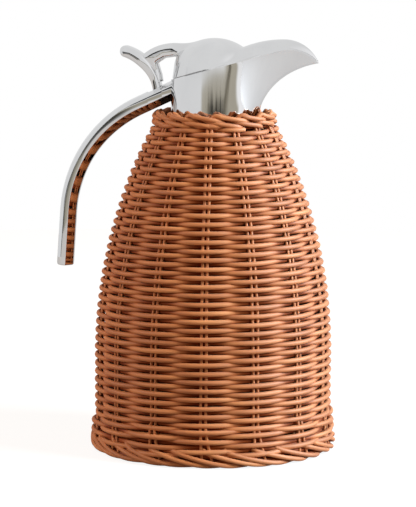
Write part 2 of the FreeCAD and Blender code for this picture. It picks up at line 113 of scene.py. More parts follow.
# Weavers. A wander is (amount, length), with lengths of rows as angles in radians.
WEAVER_DIAMETER = 3.3
WEAVER_UNEVEN = (0.05, 30.0)
WEAVE_SWING = (WEAVE_THICKNESS - WEAVER_DIAMETER) / 2
SWING_FULLNESS = 0.22
ROW_PITCH = 2.86
WALL_WANDER = (0.2, 0.35)
DEPTH_WANDER = (0.14, 0.5)
SAMPLES_PER_STAKE = 12
STRAND_SIDES = 10
RAISED = 2.0
WALL_SEED = 11

# Top border
BORDER_STRAND = 3.1
BORDER_CREST = border_high[2] - BORDER_STRAND / 2 - BOX_CLEARANCE
BORDER_TUCK = 1.4
BORDER_LIFT = 0.5
BORDER_WANDER = (0.12, 9.0)
BORDER_RISE_HEIGHTS = (-4.0, 2.6)
# Rising strands: stake spacings round, out from the wall's middle
FRONT_RISE = [(-0.06, -0.4), (0.0, -0.8)]
BEHIND_RISE = [(0.06, -0.4), (0.12, -1.6)]
# Lying strands: stake spacings round, out from the wall's middle, drop below the crest, share of lift
FRONT_LIE = [
    (0.2, 0.3, 0.0, 0.4),
    (0.48, 1.9, 1.0, 1.0),
    (0.95, 2.5, 2.2, 0.5),
    (1.3, 1.5, 3.1, 0.0),
    (1.55, -0.9, 4.2, 0.0),
]
FRONT_POINTS = 48
BEHIND_LIE = [
    (0.34, -1.7, -0.2, -0.4),
    (0.66, -0.7, 1.4, 0.0),
    (1.05, 0.9, 4.2, 0.0),
    (1.35, 2.3, 5.2, 0.5),
    (1.85, 2.6, 6.4, 0.0),
    (2.15, 1.2, 7.4, 0.0),
    (2.35, -1.2, 8.4, 0.0),
]
BEHIND_POINTS = 64
BORDER_CORE = 3.4
BORDER_CORE_INSET = 1.2
BORDER_CORE_DROPS = (3.6, 7.6)
BORDER_CORE_POINTS = 120
BORDER_SEED = 23

# Foot band, with the stakes' ends that stand out of it and the wall's rows drawn in behind it
BAND_ROWS = 7
BAND_TOP_ROW = 23.0
BAND_RADIUS = band_high[0] - BOX_CLEARANCE
BAND_LEAN = 1.2
BAND_WANDER = (1.3, 0.7)
WALL_OVERLAP = 6.0
WALL_START = BAND_TOP_ROW - WALL_OVERLAP
TUCK_TOP = BAND_TOP_ROW + 2.5
TUCK_RUN = 5.0
TUCK_DEPTH = 2.4
STUB_TOP = BAND_TOP_ROW + 4.4
STUB_UNEVEN = 0.8
STUB_BELOW = 2.0
STUB_SWEEPS = (1.2, 6.2)
STUB_CURVE = 1.5
STUB_POINTS = 24
FOOT_SEED = 37

# Foot border
FOOT_STRAND = 3.1
FOOT_EDGE = BAND_RADIUS - FOOT_STRAND / 2
FOOT_TURN = 0.05
FOOT_LANE_TURN = 0.4
FOOT_TURN_UNEVEN = 0.05
FOOT_LIFT = 0.5
FOOT_DRAW_IN = 0.5
# A strand's route: stake spacings round, inset, height, share of lift, share of draw-in
FOOT_ROUTE = [
    (-0.1, 3.6, 12.4, 0.0, 0.0),
    (0.0, 1.8, 10.6, 1.0, 0.0),
    (0.2, 0.3, 8.4, 1.0, 1.0),
    (0.5, 0.0, 5.4, 1.0, 1.0),
    (0.8, 0.4, 3.0, 0.5, 1.0),
    (1.05, 2.6, 1.9, 0.0, 0.0),
    (1.35, 6.2, 1.8, 0.0, 0.0),
]
FOOT_POINTS = 60
# Dark rings that fill the border's openings, set at the deepest level so that they carry the full painted
# shade: inset, height, thickness
FOOT_SHADE_RINGS = [(4.6, 3.4, 5.0), (4.8, 8.0, 4.4), (5.2, 12.0, 4.0), (6.4, 15.8, 4.0)]
FOOT_CORE_POINTS = 160

# Woven base
BASE_SPOKES = 27
BASE_STRAND = 1.8
BASE_PITCH = BASE_STRAND * 1.03
BASE_SWING = 0.85
BASE_MIDDLE = 6.0
BASE_SAMPLES = 6
BASE_SIDES = 8
SPOKE_START = 2.0
SPOKE_POINTS = 12

# Where strands start in the cane's pattern: the first strand, the step from pair to pair and within a pair
WALL_WEAVER_TONES = (0.0, 0.0, 5000.0)
WALL_STAKE_TONES = (20000.0, 700.0, 350.0)
BORDER_TONES = (40000.0, 300.0, 120.0)
BORDER_CORE_TONE = 48000.0
FOOT_WEAVER_TONES = (60000.0, 0.0, 3000.0)
FOOT_STAKE_TONES = (70000.0, 300.0, 90.0)
FOOT_BORDER_TONES = (80000.0, 400.0, 150.0)
FOOT_CORE_TONE = 88000.0
BASE_WEAVER_TONE = 90000.0
BASE_SPOKE_TONES = (95000.0, 90.0, 0.0)

# Collar and spout
RIM_BACK_HEIGHT = 251.5
RIM_SLOPE = math.radians(15.3)
RIM_BEND_X = 46.0
RIM_BEND_RADIUS = 24.2
KEEL_START = 222.0
LIP_TURN = math.radians(78.0)
LIP_FIRST = 0.03
SPOUT_TIP_X = 71.3
SPOUT_TIP_RADIUS = 2.5
NOSE_SHARE = 0.12
COLLAR_WALL = 2.2
COLLAR_EASE = 0.4
COLLAR_EASE_STEPS = 2
COLLAR_COLUMNS = 40
NOSE_COLUMNS = 13
COLLAR_LOW_ROWS = 4
SPOUT_ROWS = 30
SHARP_ANGLE = math.radians(50.0)

# Lid: dome, beak and the arch that joins the dome to the lever
LID_GAP = 0.4
LID_RADIUS = 27.6
LID_WALL = 1.7
DOME_BASE = 260.0
DOME_SIDE_RADIUS = 15.5
DOME_TOP = 280.0
SKIRT_LEAN = math.radians(7.0)
CREST_X = 48.0
CREST_Z = 279.7
CREST_BACK_RADIUS = 75.0
CREST_FRONT_RADIUS = 25.5
BEAK_END_X = 70.6
BEAK_NOSE = 1.0
BEAK_LEAST = 0.3
BEAK_BLEND = 1.4
ARCH_TOP = [(-8.0, 270.0), (-29.5, 276.2), (-52.0, 266.0)]
ARCH_TOP_POINTS = 16
ARCH_FOOT = [(-44.0, 246.0), (-35.0, 246.0)]
ARCH_WINDOW = [(-36.4, 255.0), (-39.0, 262.6), (-34.0, 266.0), (-27.0, 267.0), (-8.0, 262.0)]
ARCH_HALF_WIDTH = 5.5
ARCH_FRONT = -5.0
ARCH_BACK = -56.0
ARCH_ROUND = 3.6
ARCH_SINK = 2.8
ARCH_BLEND = 6.0
ARCH_BLEND_RUN = 6.0
LEG_BLEND = 1.0
LEG_TOP = 266.0
LEG_RUN = 8.0
LEG_TAPER = 1.6

# Grid that finds the lid's surface
CELL = 0.7
CELLS_BELOW = 3
GRID_MARGIN = 1.4
GRID_FRONT_MARGIN = 1.0
GRID_HEIGHT = 32.0
PROBE = 0.05
SETTLE_STEPS = 3
LEAST_SLOPE = 0.1

# Thumb lever
LEVER_CENTRE = np.array([-70.82, 239.82])
LEVER_RADIUS = 31.7
LEVER_FOOT_ANGLE = 4.0
LEVER_TIP_ANGLE = 80.5
LEVER_FOOT_THICKNESS = 6.4
LEVER_THICKNESS = 8.0
LEVER_FOOT_HALF_WIDTH = 4.9
LEVER_HALF_WIDTH = 7.5
LEVER_GROW_START = 0.2
LEVER_GROW_RUN = 0.45
LEVER_TIP_WIDTH = 0.25
LEVER_TIP_DEPTH = 0.04
LEVER_SQUARENESS = 0.6
LEVER_POINTS = 80
LEVER_SIDES = 28

# Handle, with sizes of its section along the grip and at the root, and hinge pin
HANDLE_ROOT_RUN = 25.1
HANDLE_ROOT_DROP = 12.3
HANDLE_RADIUS = 94.0
HANDLE_ROOT_ANGLE = 115.0
HANDLE_LOWER_ANGLE = 176.3
HANDLE_ROOT_SHARE = 0.6
HANDLE_END_Z = 122.7
HANDLE_HALF_WIDTH = (8.0, 9.8)
HANDLE_CROWN = (4.6, 3.4)
HANDLE_FLANK = (8.0, 8.4)
HANDLE_DEPTH = (11.9, 12.6)
HANDLE_INNER_HALF_WIDTH = 1.2
HANDLE_EASE = 1.2
HANDLE_LOW_EASE = HANDLE_EASE / 2
HANDLE_INNER_EASE = HANDLE_EASE / 4
HANDLE_EASE_POINTS = 9
HANDLE_INNER_POINTS = 5
HANDLE_CROWN_POINTS = 8
HANDLE_BEND_POINTS = 60
HANDLE_LOWER_POINTS = 8
HANDLE_END_TURNS = np.radians([30.0, 60.0, 90.0])
SLOT_HALF_WIDTH = 5.35
SLOT_FRONT = -36.6
SLOT_REAR = -46.9
SLOT_DEPTH = 6.2
PIN_HALF_LENGTH = 7.2
PIN_POINTS = 5
PIN_SIDES = 24

# Cane: stops of (position, colour) along its tones and its fibres, and painted shade by its depth in the
# weave, darkest in the recesses
CANE_TONE_SCALE = (0.018, 0.12, 0.12)
CANE_TONES = [(0.28, (0.37, 0.102, 0.022)), (0.5, (0.50, 0.150, 0.035)), (0.72, (0.63, 0.220, 0.062))]
FIBRE_SCALE = (0.09, 3.2, 3.2)
FIBRE_DETAIL = 4.0
FIBRE_TONES = [(0.25, (0.74, 0.68, 0.62)), (0.5, (1.0, 1.0, 1.0)), (0.8, (1.1, 1.08, 1.06))]
# Painted shade: darker colour where a strand lies deep in the weave
RECESS_SHADE_TONES = [(0.0, (0.24, 0.08, 0.03)), (0.5, (0.55, 0.36, 0.25)), (1.0, (1.0, 1.0, 1.0))]
CANE_ROUGHNESS = (0.58, 0.72)
CANE_SPECULAR = 0.3
CANE_SHEEN = 0.055
CANE_SHEEN_POWER = 3.0
CANE_SHEEN_TINT = (1.0, 0.9, 0.8)
FIBRE_BUMP = (0.25, 0.0002)

# Metal, plastic and silicone
NOISE_ROUGHNESS = 0.55
WIPE_SCALE = (60.0, 60.0, 18.0)
WIPE_DETAIL = 4.0
CHROME_TONES = [(0.3, (0.80, 0.80, 0.805)), (0.7, (0.86, 0.86, 0.86))]
CHROME_ROUGHNESS = (0.02, 0.06)
WAVINESS_SCALE = 45.0
WAVINESS_BUMP = (0.02, 0.0006)
DRAWN_SCALE = (12.0, 12.0, 900.0)
DRAWN_DETAIL = 2.0
DRAWN_DARKER = 0.86
DRAWN_ROUGHNESS = (0.8, 1.3)
TONE_LOW = 0.3
TONE_HIGH = 0.7
MOULDED_ROUGHNESS = 0.08
MOULDED_BUMP = (0.12, 0.0001)
FLASK_GREY = (0.42, 0.42, 0.42)
# Painted shade: the jacket seen through the weave's gaps is coloured dark warm brown.
JACKET_SHADE_BROWN = (0.13, 0.085, 0.06)
SCREW_GREY = (0.58, 0.58, 0.58)
PLASTIC_TONES = ((0.022, 0.022, 0.024), (0.034, 0.034, 0.036))
SILICONE_TONES = ((0.66, 0.66, 0.64), (0.74, 0.74, 0.72))

# Floor and lamps, with lengths in metres and powers in watts
FLOOR_RADIUS = 1.3
FLOOR_DROP = 0.0002
FLOOR_SIDES = 96
FLOOR_TONE = (0.23, 0.207, 0.188)
FLOOR_WHITE = 0.88
FLOOR_MIRRORED = 0.42
FILL_LEVEL = 0.28
DAYLIGHT = (0.83, 1.0, 1.2)
WARM = (1.0, 0.85, 0.68)
SHINE = (0.95, 1.0, 1.0)
LAMP_TARGET = (0.0, 0.0, 0.12)
# Lamps: name, place, size, power, colour
LAMPS = [
    ("key", (1.7, -0.35, 0.9), (0.8, 1.0), 68.0, DAYLIGHT),
    ("side", (-1.45, -0.7, 0.7), (0.6, 1.0), 16.0, WARM),
]
CANE_LAMPS = [
    ("shine_right", (1.7, 0.2, 0.9), (0.8, 1.0), 230.0, SHINE),
    ("shine_left", (-1.5, -0.6, 0.8), (0.8, 1.0), 30.0, SHINE),
]

# Studio that the metal mirrors, in degrees. Edges are (place, softness), negative to count what lies below.
# Change of the studio's tone along X, from -1 to 1
STUDIO_CHANGE = (0.625, 0.325)
STUDIO_TONES = [(0.0, (0.76, 0.765, 0.77)), (1.0, (0.97, 0.97, 0.98))]
SIDE_SOFT = 4.0
OPENING_LEFT = -23.0
OPENING_RIGHT = 74.0
OPENING_TOP = (-3.1, -0.15)
OPENING_ROUND = 0.35
OPENING_ROUND_POWER = 3.0
OPENING_FOOT = (-8.0, 1.0)
ROOM_TONES = [(0.0, (0.42, 0.39, 0.32)), (0.5, (0.17, 0.15, 0.11)), (1.0, (0.012, 0.011, 0.01))]
STREAK_AZIMUTH = 17.0
STREAK_WIDTH = 34.0
STREAK_TOP = (-3.68, -0.15)
STREAK_FOOT = (-4.425, 0.225)
STREAK_SCALE = (9.0, 9.0, 1.0)
STREAK_UNEVEN = 0.7
# Dark bands: left, right, low and high edge, softness of the low and the high edge, shade
DARK_BANDS = [(-75.0, -3.0, -2.4, 6.2, 0.8, 1.6, 0.03), (-70.0, -15.0, -12.0, -4.5, 2.0, 0.25, 0.12)]

# Curves and meshes


def smooth_step(share):
    """A share of 0 to 1, eased at both ends."""
    return share * share * (3 - 2 * share)


def part_way(start, end, share):
    return start + (end - start) * share


def wander(rng, positions, size):
    """A smooth random curve of a size of (amount, length from one random value to the next)."""
    amount, length = size
    values = rng.uniform(-1, 1, int(positions.max() / length) + 3)
    place = positions / length
    index = place.astype(int)
    return amount * part_way(values[index], values[index + 1], smooth_step(place - index))


def cylindrical(radius, angle, z):
    """Points at a radius and height for each angle."""
    return np.stack([radius * np.cos(angle), radius * np.sin(angle), z + 0 * angle], axis=1)


def lengths_along(path):
    steps = np.linalg.norm(np.diff(path, axis=0), axis=1)
    return np.concatenate([[0.0], np.cumsum(steps)])


def spline(points, count):
    """Points along a smooth curve through the given points."""
    points = np.asarray(points, float)
    ends = np.vstack([2 * points[0] - points[1], points, 2 * points[-1] - points[-2]])
    place = np.linspace(0, len(points) - 1, count)
    index = np.minimum(place.astype(int), len(points) - 2)
    t = (place - index)[:, None]
    a, b, c, d = (ends[index + k] for k in range(4))
    slope = (c - a) / 2
    bend = (2 * a - 5 * b + 4 * c - d) / 2
    twist = (3 * b - a - 3 * c + d) / 2
    return b + t * (slope + t * (bend + t * twist))


def grid_faces(rows, columns):
    """Quads of a grid of points whose columns run round."""
    faces = []
    for row in range(rows - 1):
        low = row * columns
        high = low + columns
        for column in range(columns):
            after = (column + 1) % columns
            faces.append((low + column, low + after, high + after, high + column))
    return faces


def capped_faces(rows, columns):
    """Quads of a tube of points, with a face across each end."""
    faces = grid_faces(rows, columns)
    faces.append(tuple(reversed(range(columns))))
    faces.append(tuple(range((rows - 1) * columns, rows * columns)))
    return faces


def scene_object(name, data):
    """A new object in the scene."""
    obj = bpy.data.objects.new(name, data)
    bpy.context.scene.collection.objects.link(obj)
    return obj


def thicken(obj, thickness):
    """Gives a sheet a wall that lies inside it."""
    wall = obj.modifiers.new("wall", "SOLIDIFY")
    wall.thickness = thickness * MM
    wall.offset = -1.0


class Mesh:
    """Points, faces and strand coordinates collected for one piece."""

    def __init__(self):
        self.points = []
        self.strand = []
        self.raised = []
        self.faces = []
        self.count = 0

    def add(self, points, faces, strand=None, raised=None):
        self.points.append(points)
        self.strand.append(np.zeros_like(points) if strand is None else strand)
        self.raised.append(np.zeros(len(points)) if raised is None else raised)
        self.faces.extend([tuple(i + self.count for i in face) for face in faces])
        self.count += len(points)

    def tube(self, path, diameter, tone=0.0, sides=STRAND_SIDES, raised=RAISED):
        """A round strand along a path, closed at both ends. raised is how far the path stands out."""
        path = np.asarray(path, float)
        along = np.gradient(path, axis=0)
        along /= np.linalg.norm(along, axis=1)[:, None]
        outward = path * [1.0, 1.0, 0.0]
        outward /= np.maximum(np.linalg.norm(outward, axis=1), TINY)[:, None]
        outward -= along * (outward * along).sum(1)[:, None]
        outward[np.linalg.norm(outward, axis=1) < TINY] = (0.0, 0.0, 1.0)
        outward /= np.linalg.norm(outward, axis=1)[:, None]
        sideways = np.cross(along, outward)
        turn = np.linspace(0, 2 * math.pi, sides, endpoint=False)
        radius = np.broadcast_to(np.asarray(diameter, float) / 2, (len(path),))
        ring = np.cos(turn)[None, :, None] * outward[:, None, :]
        ring = ring + np.sin(turn)[None, :, None] * sideways[:, None, :]
        points = path[:, None, :] + ring * radius[:, None, None]
        distance = lengths_along(path) + tone
        strand = np.stack([
            np.broadcast_to(distance[:, None], (len(path), sides)),
            np.cos(turn)[None, :] * radius[:, None],
            np.sin(turn)[None, :] * radius[:, None],
        ], axis=2)
        level = np.broadcast_to(raised, (len(path),))[:, None] + strand[:, :, 1]
        faces = capped_faces(len(path), sides)
        self.add(points.reshape(-1, 3), faces, strand.reshape(-1, 3), level.ravel())

    def piece(self, name, body, slot, *nodes):
        """The finished piece, which rides on a body and stands for the given CAD nodes."""
        mesh = bpy.data.meshes.new(name)
        points = np.concatenate(self.points) * MM
        mesh.from_pydata(points.tolist(), [], self.faces)
        attribute = mesh.attributes.new("strand", "FLOAT_VECTOR", "POINT")
        attribute.data.foreach_set("vector", np.concatenate(self.strand).astype(np.float32).ravel())
        level = mesh.attributes.new("raised", "FLOAT", "POINT")
        level.data.foreach_set("value", np.concatenate(self.raised).astype(np.float32))
        mesh.materials.append(FINISH[slot])
        mesh.shade_smooth()
        obj = scene_object(name, mesh)
        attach(obj, body)
        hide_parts(*nodes)
        return obj


# Shader nodes


class Tree:
    """The nodes of one material or of the world."""

    def __init__(self, owner):
        owner.use_nodes = True
        self.nodes = owner.node_tree.nodes
        self.links = owner.node_tree.links

    def fill(self, node, values):
        """Gives a node's inputs plain values or other nodes' outputs."""
        for name, value in values.items():
            if isinstance(value, bpy.types.NodeSocket):
                self.links.new(value, node.inputs[name])
            else:
                node.inputs[name].default_value = value

    def node(self, kind, values):
        node = self.nodes.new(kind)
        self.fill(node, values)
        return node

    def noise(self, vector, scale=1.0, detail=3.0):
        values = {"Vector": vector, "Scale": scale, "Detail": detail, "Roughness": NOISE_ROUGHNESS}
        return self.node("ShaderNodeTexNoise", values).outputs["Fac"]

    def ramp(self, value, stops):
        """A colour ramp with stops of (position, colour)."""
        node = self.node("ShaderNodeValToRGB", {"Fac": value})
        ramp = node.color_ramp
        while len(ramp.elements) < len(stops):
            ramp.elements.new(0.5)
        for element, (position, colour) in zip(ramp.elements, stops):
            element.position = position
            element.color = (*colour, 1.0)
        return node.outputs["Color"]

    def span(self, value, low, high):
        """Maps a value of 0 to 1 to low to high."""
        values = {"Value": value, "To Min": low, "To Max": high}
        return self.node("ShaderNodeMapRange", values).outputs["Result"]

    def edge(self, value, place, soft):
        """0 below a place and 1 above it, with a smooth change. A negative softness swaps the two."""
        values = {"Value": value, "From Min": place - soft, "From Max": place + soft}
        node = self.node("ShaderNodeMapRange", values)
        node.interpolation_type = "SMOOTHSTEP"
        return node.outputs["Result"]

    def math(self, operation, *values):
        node = self.nodes.new("ShaderNodeMath")
        node.operation = operation
        self.fill(node, dict(enumerate(values)))
        return node.outputs[0]

    def product(self, first, *others):
        for other in others:
            first = self.math("MULTIPLY", first, other)
        return first

    def between(self, value, low, high, low_soft, high_soft):
        """1 from the low to the high place and 0 beyond them."""
        return self.product(self.edge(value, low, low_soft), self.edge(value, high, -high_soft))

    def bump(self, height, strength, distance):
        values = {"Height": height, "Strength": strength, "Distance": distance}
        return self.node("ShaderNodeBump", values).outputs["Normal"]

    def stretched(self, vector, scale):
        return self.node("ShaderNodeMapping", {"Vector": vector, "Scale": scale}).outputs["Vector"]

    def mixed(self, share, a, b, mode="MIX"):
        node = self.nodes.new("ShaderNodeMix")
        node.data_type = "RGBA"
        node.blend_type = mode
        self.fill(node, {"Factor": share, "A": a, "B": b})
        return node.outputs["Result"]

    def tinted(self, colour, tint):
        return self.mixed(1.0, colour, tint, "MULTIPLY")

    def place(self, kind="Object"):
        return self.nodes.new("ShaderNodeTexCoord").outputs[kind]

    def attribute(self, name, output):
        node = self.nodes.new("ShaderNodeAttribute")
        node.attribute_name = name
        return node.outputs[output]

    def ray_kinds(self):
        """Two values: 1 for rays straight from the camera, and 1 for rays that were mirrored."""
        rays = self.nodes.new("ShaderNodeLightPath").outputs
        direct = self.math("MAXIMUM", rays["Is Camera Ray"], rays["Is Transmission Ray"])
        return direct, rays["Is Glossy Ray"]


# Materials


def new_material(name):
    material = bpy.data.materials.new(name)
    tree = Tree(material)
    return material, tree, tree.nodes["Principled BSDF"]


def cane_material():
    """Stained, lacquered cane: long tone changes, fine fibre streaks, and painted shade that darkens the
    recesses.
    """
    material, tree, shader = new_material("woven_cane")
    strand = tree.attribute("strand", "Vector")
    tone = tree.noise(tree.stretched(strand, CANE_TONE_SCALE))
    fibre = tree.noise(tree.stretched(strand, FIBRE_SCALE), detail=FIBRE_DETAIL)
    raised = tree.edge(tree.attribute("raised", "Fac"), 0.0, WEAVE_SWING)
    stained = tree.tinted(tree.ramp(tone, CANE_TONES), tree.ramp(fibre, FIBRE_TONES))
    bloom = tree.math("POWER", raised, CANE_SHEEN_POWER)
    tree.fill(shader, {
        # Painted shade: the colour darkens where a strand lies deep in the weave.
        "Base Color": tree.tinted(stained, tree.ramp(raised, RECESS_SHADE_TONES)),
        "Roughness": tree.span(fibre, *CANE_ROUGHNESS),
        "Specular IOR Level": tree.product(raised, CANE_SPECULAR),
        "Sheen Weight": tree.product(bloom, CANE_SHEEN),
        "Sheen Roughness": 1.0,
        "Sheen Tint": (*CANE_SHEEN_TINT, 1.0),
        "Normal": tree.bump(fibre, *FIBRE_BUMP),
    })
    return material


def chrome_material():
    """Polished plating with faint wipe marks and a slight waviness."""
    material, tree, shader = new_material("polished_chrome")
    place = tree.place()
    wipe = tree.noise(tree.stretched(place, WIPE_SCALE), detail=WIPE_DETAIL)
    waviness = tree.noise(place, WAVINESS_SCALE, detail=1.0)
    tree.fill(shader, {
        "Metallic": 1.0,
        "Base Color": tree.ramp(wipe, CHROME_TONES),
        "Roughness": tree.span(wipe, *CHROME_ROUGHNESS),
        "Normal": tree.bump(waviness, *WAVINESS_BUMP),
    })
    return material


def steel_material(name, colour, roughness):
    """Drawn steel with fine lines round the axis."""
    material, tree, shader = new_material(name)
    lines = tree.noise(tree.stretched(tree.place(), DRAWN_SCALE), detail=DRAWN_DETAIL)
    darker = tuple(DRAWN_DARKER * level for level in colour)
    tree.fill(shader, {
        "Metallic": 1.0,
        "Base Color": tree.ramp(lines, [(TONE_LOW, darker), (TONE_HIGH, colour)]),
        "Roughness": tree.span(lines, *(roughness * share for share in DRAWN_ROUGHNESS)),
    })
    return material


def moulded_material(name, dark, light, roughness, grain):
    """Moulded plastic or silicone with a fine grain."""
    material, tree, shader = new_material(name)
    speck = tree.noise(tree.place(), grain)
    tree.fill(shader, {
        "Base Color": tree.ramp(speck, [(TONE_LOW, dark), (TONE_HIGH, light)]),
        "Roughness": tree.span(speck, roughness - MOULDED_ROUGHNESS, roughness + MOULDED_ROUGHNESS),
        "Normal": tree.bump(speck, *MOULDED_BUMP),
    })
    return material


FINISH = {
    "woven_cane": cane_material(),
    "polished_chrome": chrome_material(),
    "flask_steel": steel_material("flask_steel", FLASK_GREY, roughness=0.34),
    "screw_steel": steel_material("screw_steel", SCREW_GREY, roughness=0.25),
    "dark_plastic": moulded_material("dark_plastic", *PLASTIC_TONES, roughness=0.5, grain=2200.0),
    "silicone": moulded_material("silicone", *SILICONE_TONES, roughness=0.6, grain=900.0),
}
# Dark brown steel for the jacket, as painted shade behind the weave.
SHADED_JACKET_STEEL = steel_material("shaded_jacket_steel", JACKET_SHADE_BROWN, roughness=0.5)

# Woven sleeve


def sleeve_radius(z):
    """Outer radius of the woven wall at height z."""
    drop = BODY_RADIUS - WALL_TOP_RADIUS
    turn = (drop ** 2 + (WALL_TOP - SHOULDER_START) ** 2) / (2 * drop)
    rise = np.maximum(np.asarray(z, float) - SHOULDER_START, 0.0)
    return BODY_RADIUS - turn + np.sqrt(turn ** 2 - rise ** 2)


def wall_centre(z):
    """Radius of the middle of the wall's weave, which draws in behind the foot band."""
    behind_band = np.clip((TUCK_TOP - z) / TUCK_RUN, 0.0, 1.0)
    return sleeve_radius(np.minimum(z, WALL_TOP)) - WEAVE_THICKNESS / 2 - TUCK_DEPTH * behind_band


def band_centre(z):
    """Radius of the middle of the foot band's weave, which leans in towards its top."""
    return BAND_RADIUS - WEAVE_THICKNESS / 2 - BAND_LEAN * z / BAND_TOP_ROW


def stand_out(path, centre_radius):
    """How far a path stands out of the middle of the weave."""
    return np.hypot(path[:, 0], path[:, 1]) - centre_radius(path[:, 2])


def tone_start(tones, pair=0, lane=0):
    """Where in the cane's pattern a strand starts."""
    first, pair_step, lane_step = tones
    return first + pair_step * pair + lane_step * lane


def weaver_path(rng, start, rows, side, centre_radius, row_wander):
    """One of two weavers that wind up together, passing before and behind the stake pairs in turn."""
    turns = rows / 2
    count = int(turns * STAKE_PAIRS * SAMPLES_PER_STAKE) + 1
    angle = np.linspace(0, turns * 2 * math.pi, count) + STAKE_ANGLES[BACK_STAKE]
    climb = angle - angle[0]
    z = start + (side + climb / math.pi) * ROW_PITCH
    wave = np.cos(STAKE_PAIRS / 2 * climb)
    wave = wave * (1 + SWING_FULLNESS - SWING_FULLNESS * wave ** 2)
    wave = wave if side == 0 else -wave
    z = z + wander(rng, climb, row_wander)
    radius = centre_radius(z) + wave * WEAVE_SWING + wander(rng, climb, DEPTH_WANDER)
    return cylindrical(radius, angle, z)


def bent_strand(angle, stations, count):
    """A smooth path through stations of (stake spacings round, radius, height) from a stake's angle."""
    spacing = 2 * math.pi / STAKE_PAIRS
    turns = [angle + a * spacing for a, _, _ in stations]
    points = [(r * math.cos(t), r * math.sin(t), z) for t, (_, r, z) in zip(turns, stations)]
    return spline(points, count)


def build_wall():
    """Two weavers that wind up the wall, and the pairs of stakes between them."""
    rng = np.random.default_rng(WALL_SEED)
    rows = (WALL_TOP - BORDER_TUCK - WALL_START) / ROW_PITCH
    for side in (0, 1):
        path = weaver_path(rng, WALL_START, rows, side, wall_centre, WALL_WANDER)
        thickness = WEAVER_DIAMETER * (1 + wander(rng, lengths_along(path), WEAVER_UNEVEN))
        tone = tone_start(WALL_WEAVER_TONES, lane=side)
        mesh = Mesh()
        mesh.tube(path, thickness, tone, raised=stand_out(path, wall_centre))
        mesh.piece(f"wall_weaver_{side + 1}", "pot", "woven_cane", "wicker_wall")
    mesh = Mesh()
    height = np.linspace(WALL_START - STAKE_BELOW, WALL_TOP + STAKE_ABOVE, STAKE_POINTS)
    radius = wall_centre(height)
    spread = STAKE_SPREAD * (1 - STAKE_CLOSING + STAKE_CLOSING * radius / radius[0])
    for pair, angle in enumerate(STAKE_ANGLES):
        for half in (-0.5, 0.5):
            aside = half * spread + wander(rng, height, STAKE_WANDER)
            path = cylindrical(radius, angle + aside / radius, height)
            mesh.tube(path, STAKE_DIAMETER, tone_start(WALL_STAKE_TONES, pair, half))
    mesh.piece("wall_stakes", "pot", "woven_cane", "wicker_wall")


def border_strand(angle, rise, lie, lift, count):
    """A stake's strand that rises out of the wall and lies down in the border."""
    middle = wall_centre(WALL_TOP)
    rising = [(a, middle + out, WALL_TOP + z) for (a, out), z in zip(rise, BORDER_RISE_HEIGHTS)]
    lying = [(a, middle + out, BORDER_CREST - drop + lift * share) for a, out, drop, share in lie]
    return bent_strand(angle, rising + lying, count)


def build_top_border():
    """Each stake pair turns over the rim to the right: one strand on top, one dipping below the next."""
    rng = np.random.default_rng(BORDER_SEED)
    mesh = Mesh()
    for pair, angle in enumerate(STAKE_ANGLES):
        lift = BORDER_LIFT * rng.uniform(-1, 1)
        front = border_strand(angle, FRONT_RISE, FRONT_LIE, lift, FRONT_POINTS)
        behind = border_strand(angle, BEHIND_RISE, BEHIND_LIE, lift, BEHIND_POINTS)
        for lane, path in enumerate((front, behind)):
            path[:, 2] += wander(rng, lengths_along(path), BORDER_WANDER)
            mesh.tube(path, BORDER_STRAND, tone_start(BORDER_TONES, pair, lane))
    # Core rings under the border, set at the deepest level so that they carry the full painted shade of the
    # recesses.
    turn = np.linspace(0, 2 * math.pi, BORDER_CORE_POINTS)
    core_radius = wall_centre(WALL_TOP) - BORDER_CORE_INSET
    for drop in BORDER_CORE_DROPS:
        ring = cylindrical(core_radius, turn, BORDER_CREST - drop)
        mesh.tube(ring, BORDER_CORE, BORDER_CORE_TONE, raised=-WEAVE_SWING)
    mesh.piece("top_border_strands", "pot", "woven_cane", "wicker_top_border")


def foot_stake(rng, angle, lane, bottom):
    """The end of a stake, from above the foot band down behind its rows."""
    top = STUB_TOP + STUB_UNEVEN * rng.uniform(-1, 1)
    z = np.linspace(top, bottom, STUB_POINTS)
    radius = band_centre(z)
    sweep = STUB_SWEEPS[lane] * ((top - z) / top) ** STUB_CURVE
    return cylindrical(radius, angle + ((lane - 0.5) * STAKE_SPREAD + sweep) / radius, z)


def foot_border_strand(rng, angle, lane):
    """A strand that leaves the foot band, lies along its edge and ends under the base."""
    turn = FOOT_TURN + FOOT_LANE_TURN * lane + FOOT_TURN_UNEVEN * rng.uniform(-1, 1)
    lift = FOOT_LIFT * rng.uniform(-1, 1)
    draw_in = FOOT_DRAW_IN * rng.uniform(0, 1)
    path = bent_strand(angle, [
        (turn + a, FOOT_EDGE - inset - draw_in * drawn, z + lift * lifted)
        for a, inset, z, lifted, drawn in FOOT_ROUTE
    ], FOOT_POINTS)
    path[:, 2] = np.maximum(path[:, 2], FOOT_STRAND / 2)
    return path


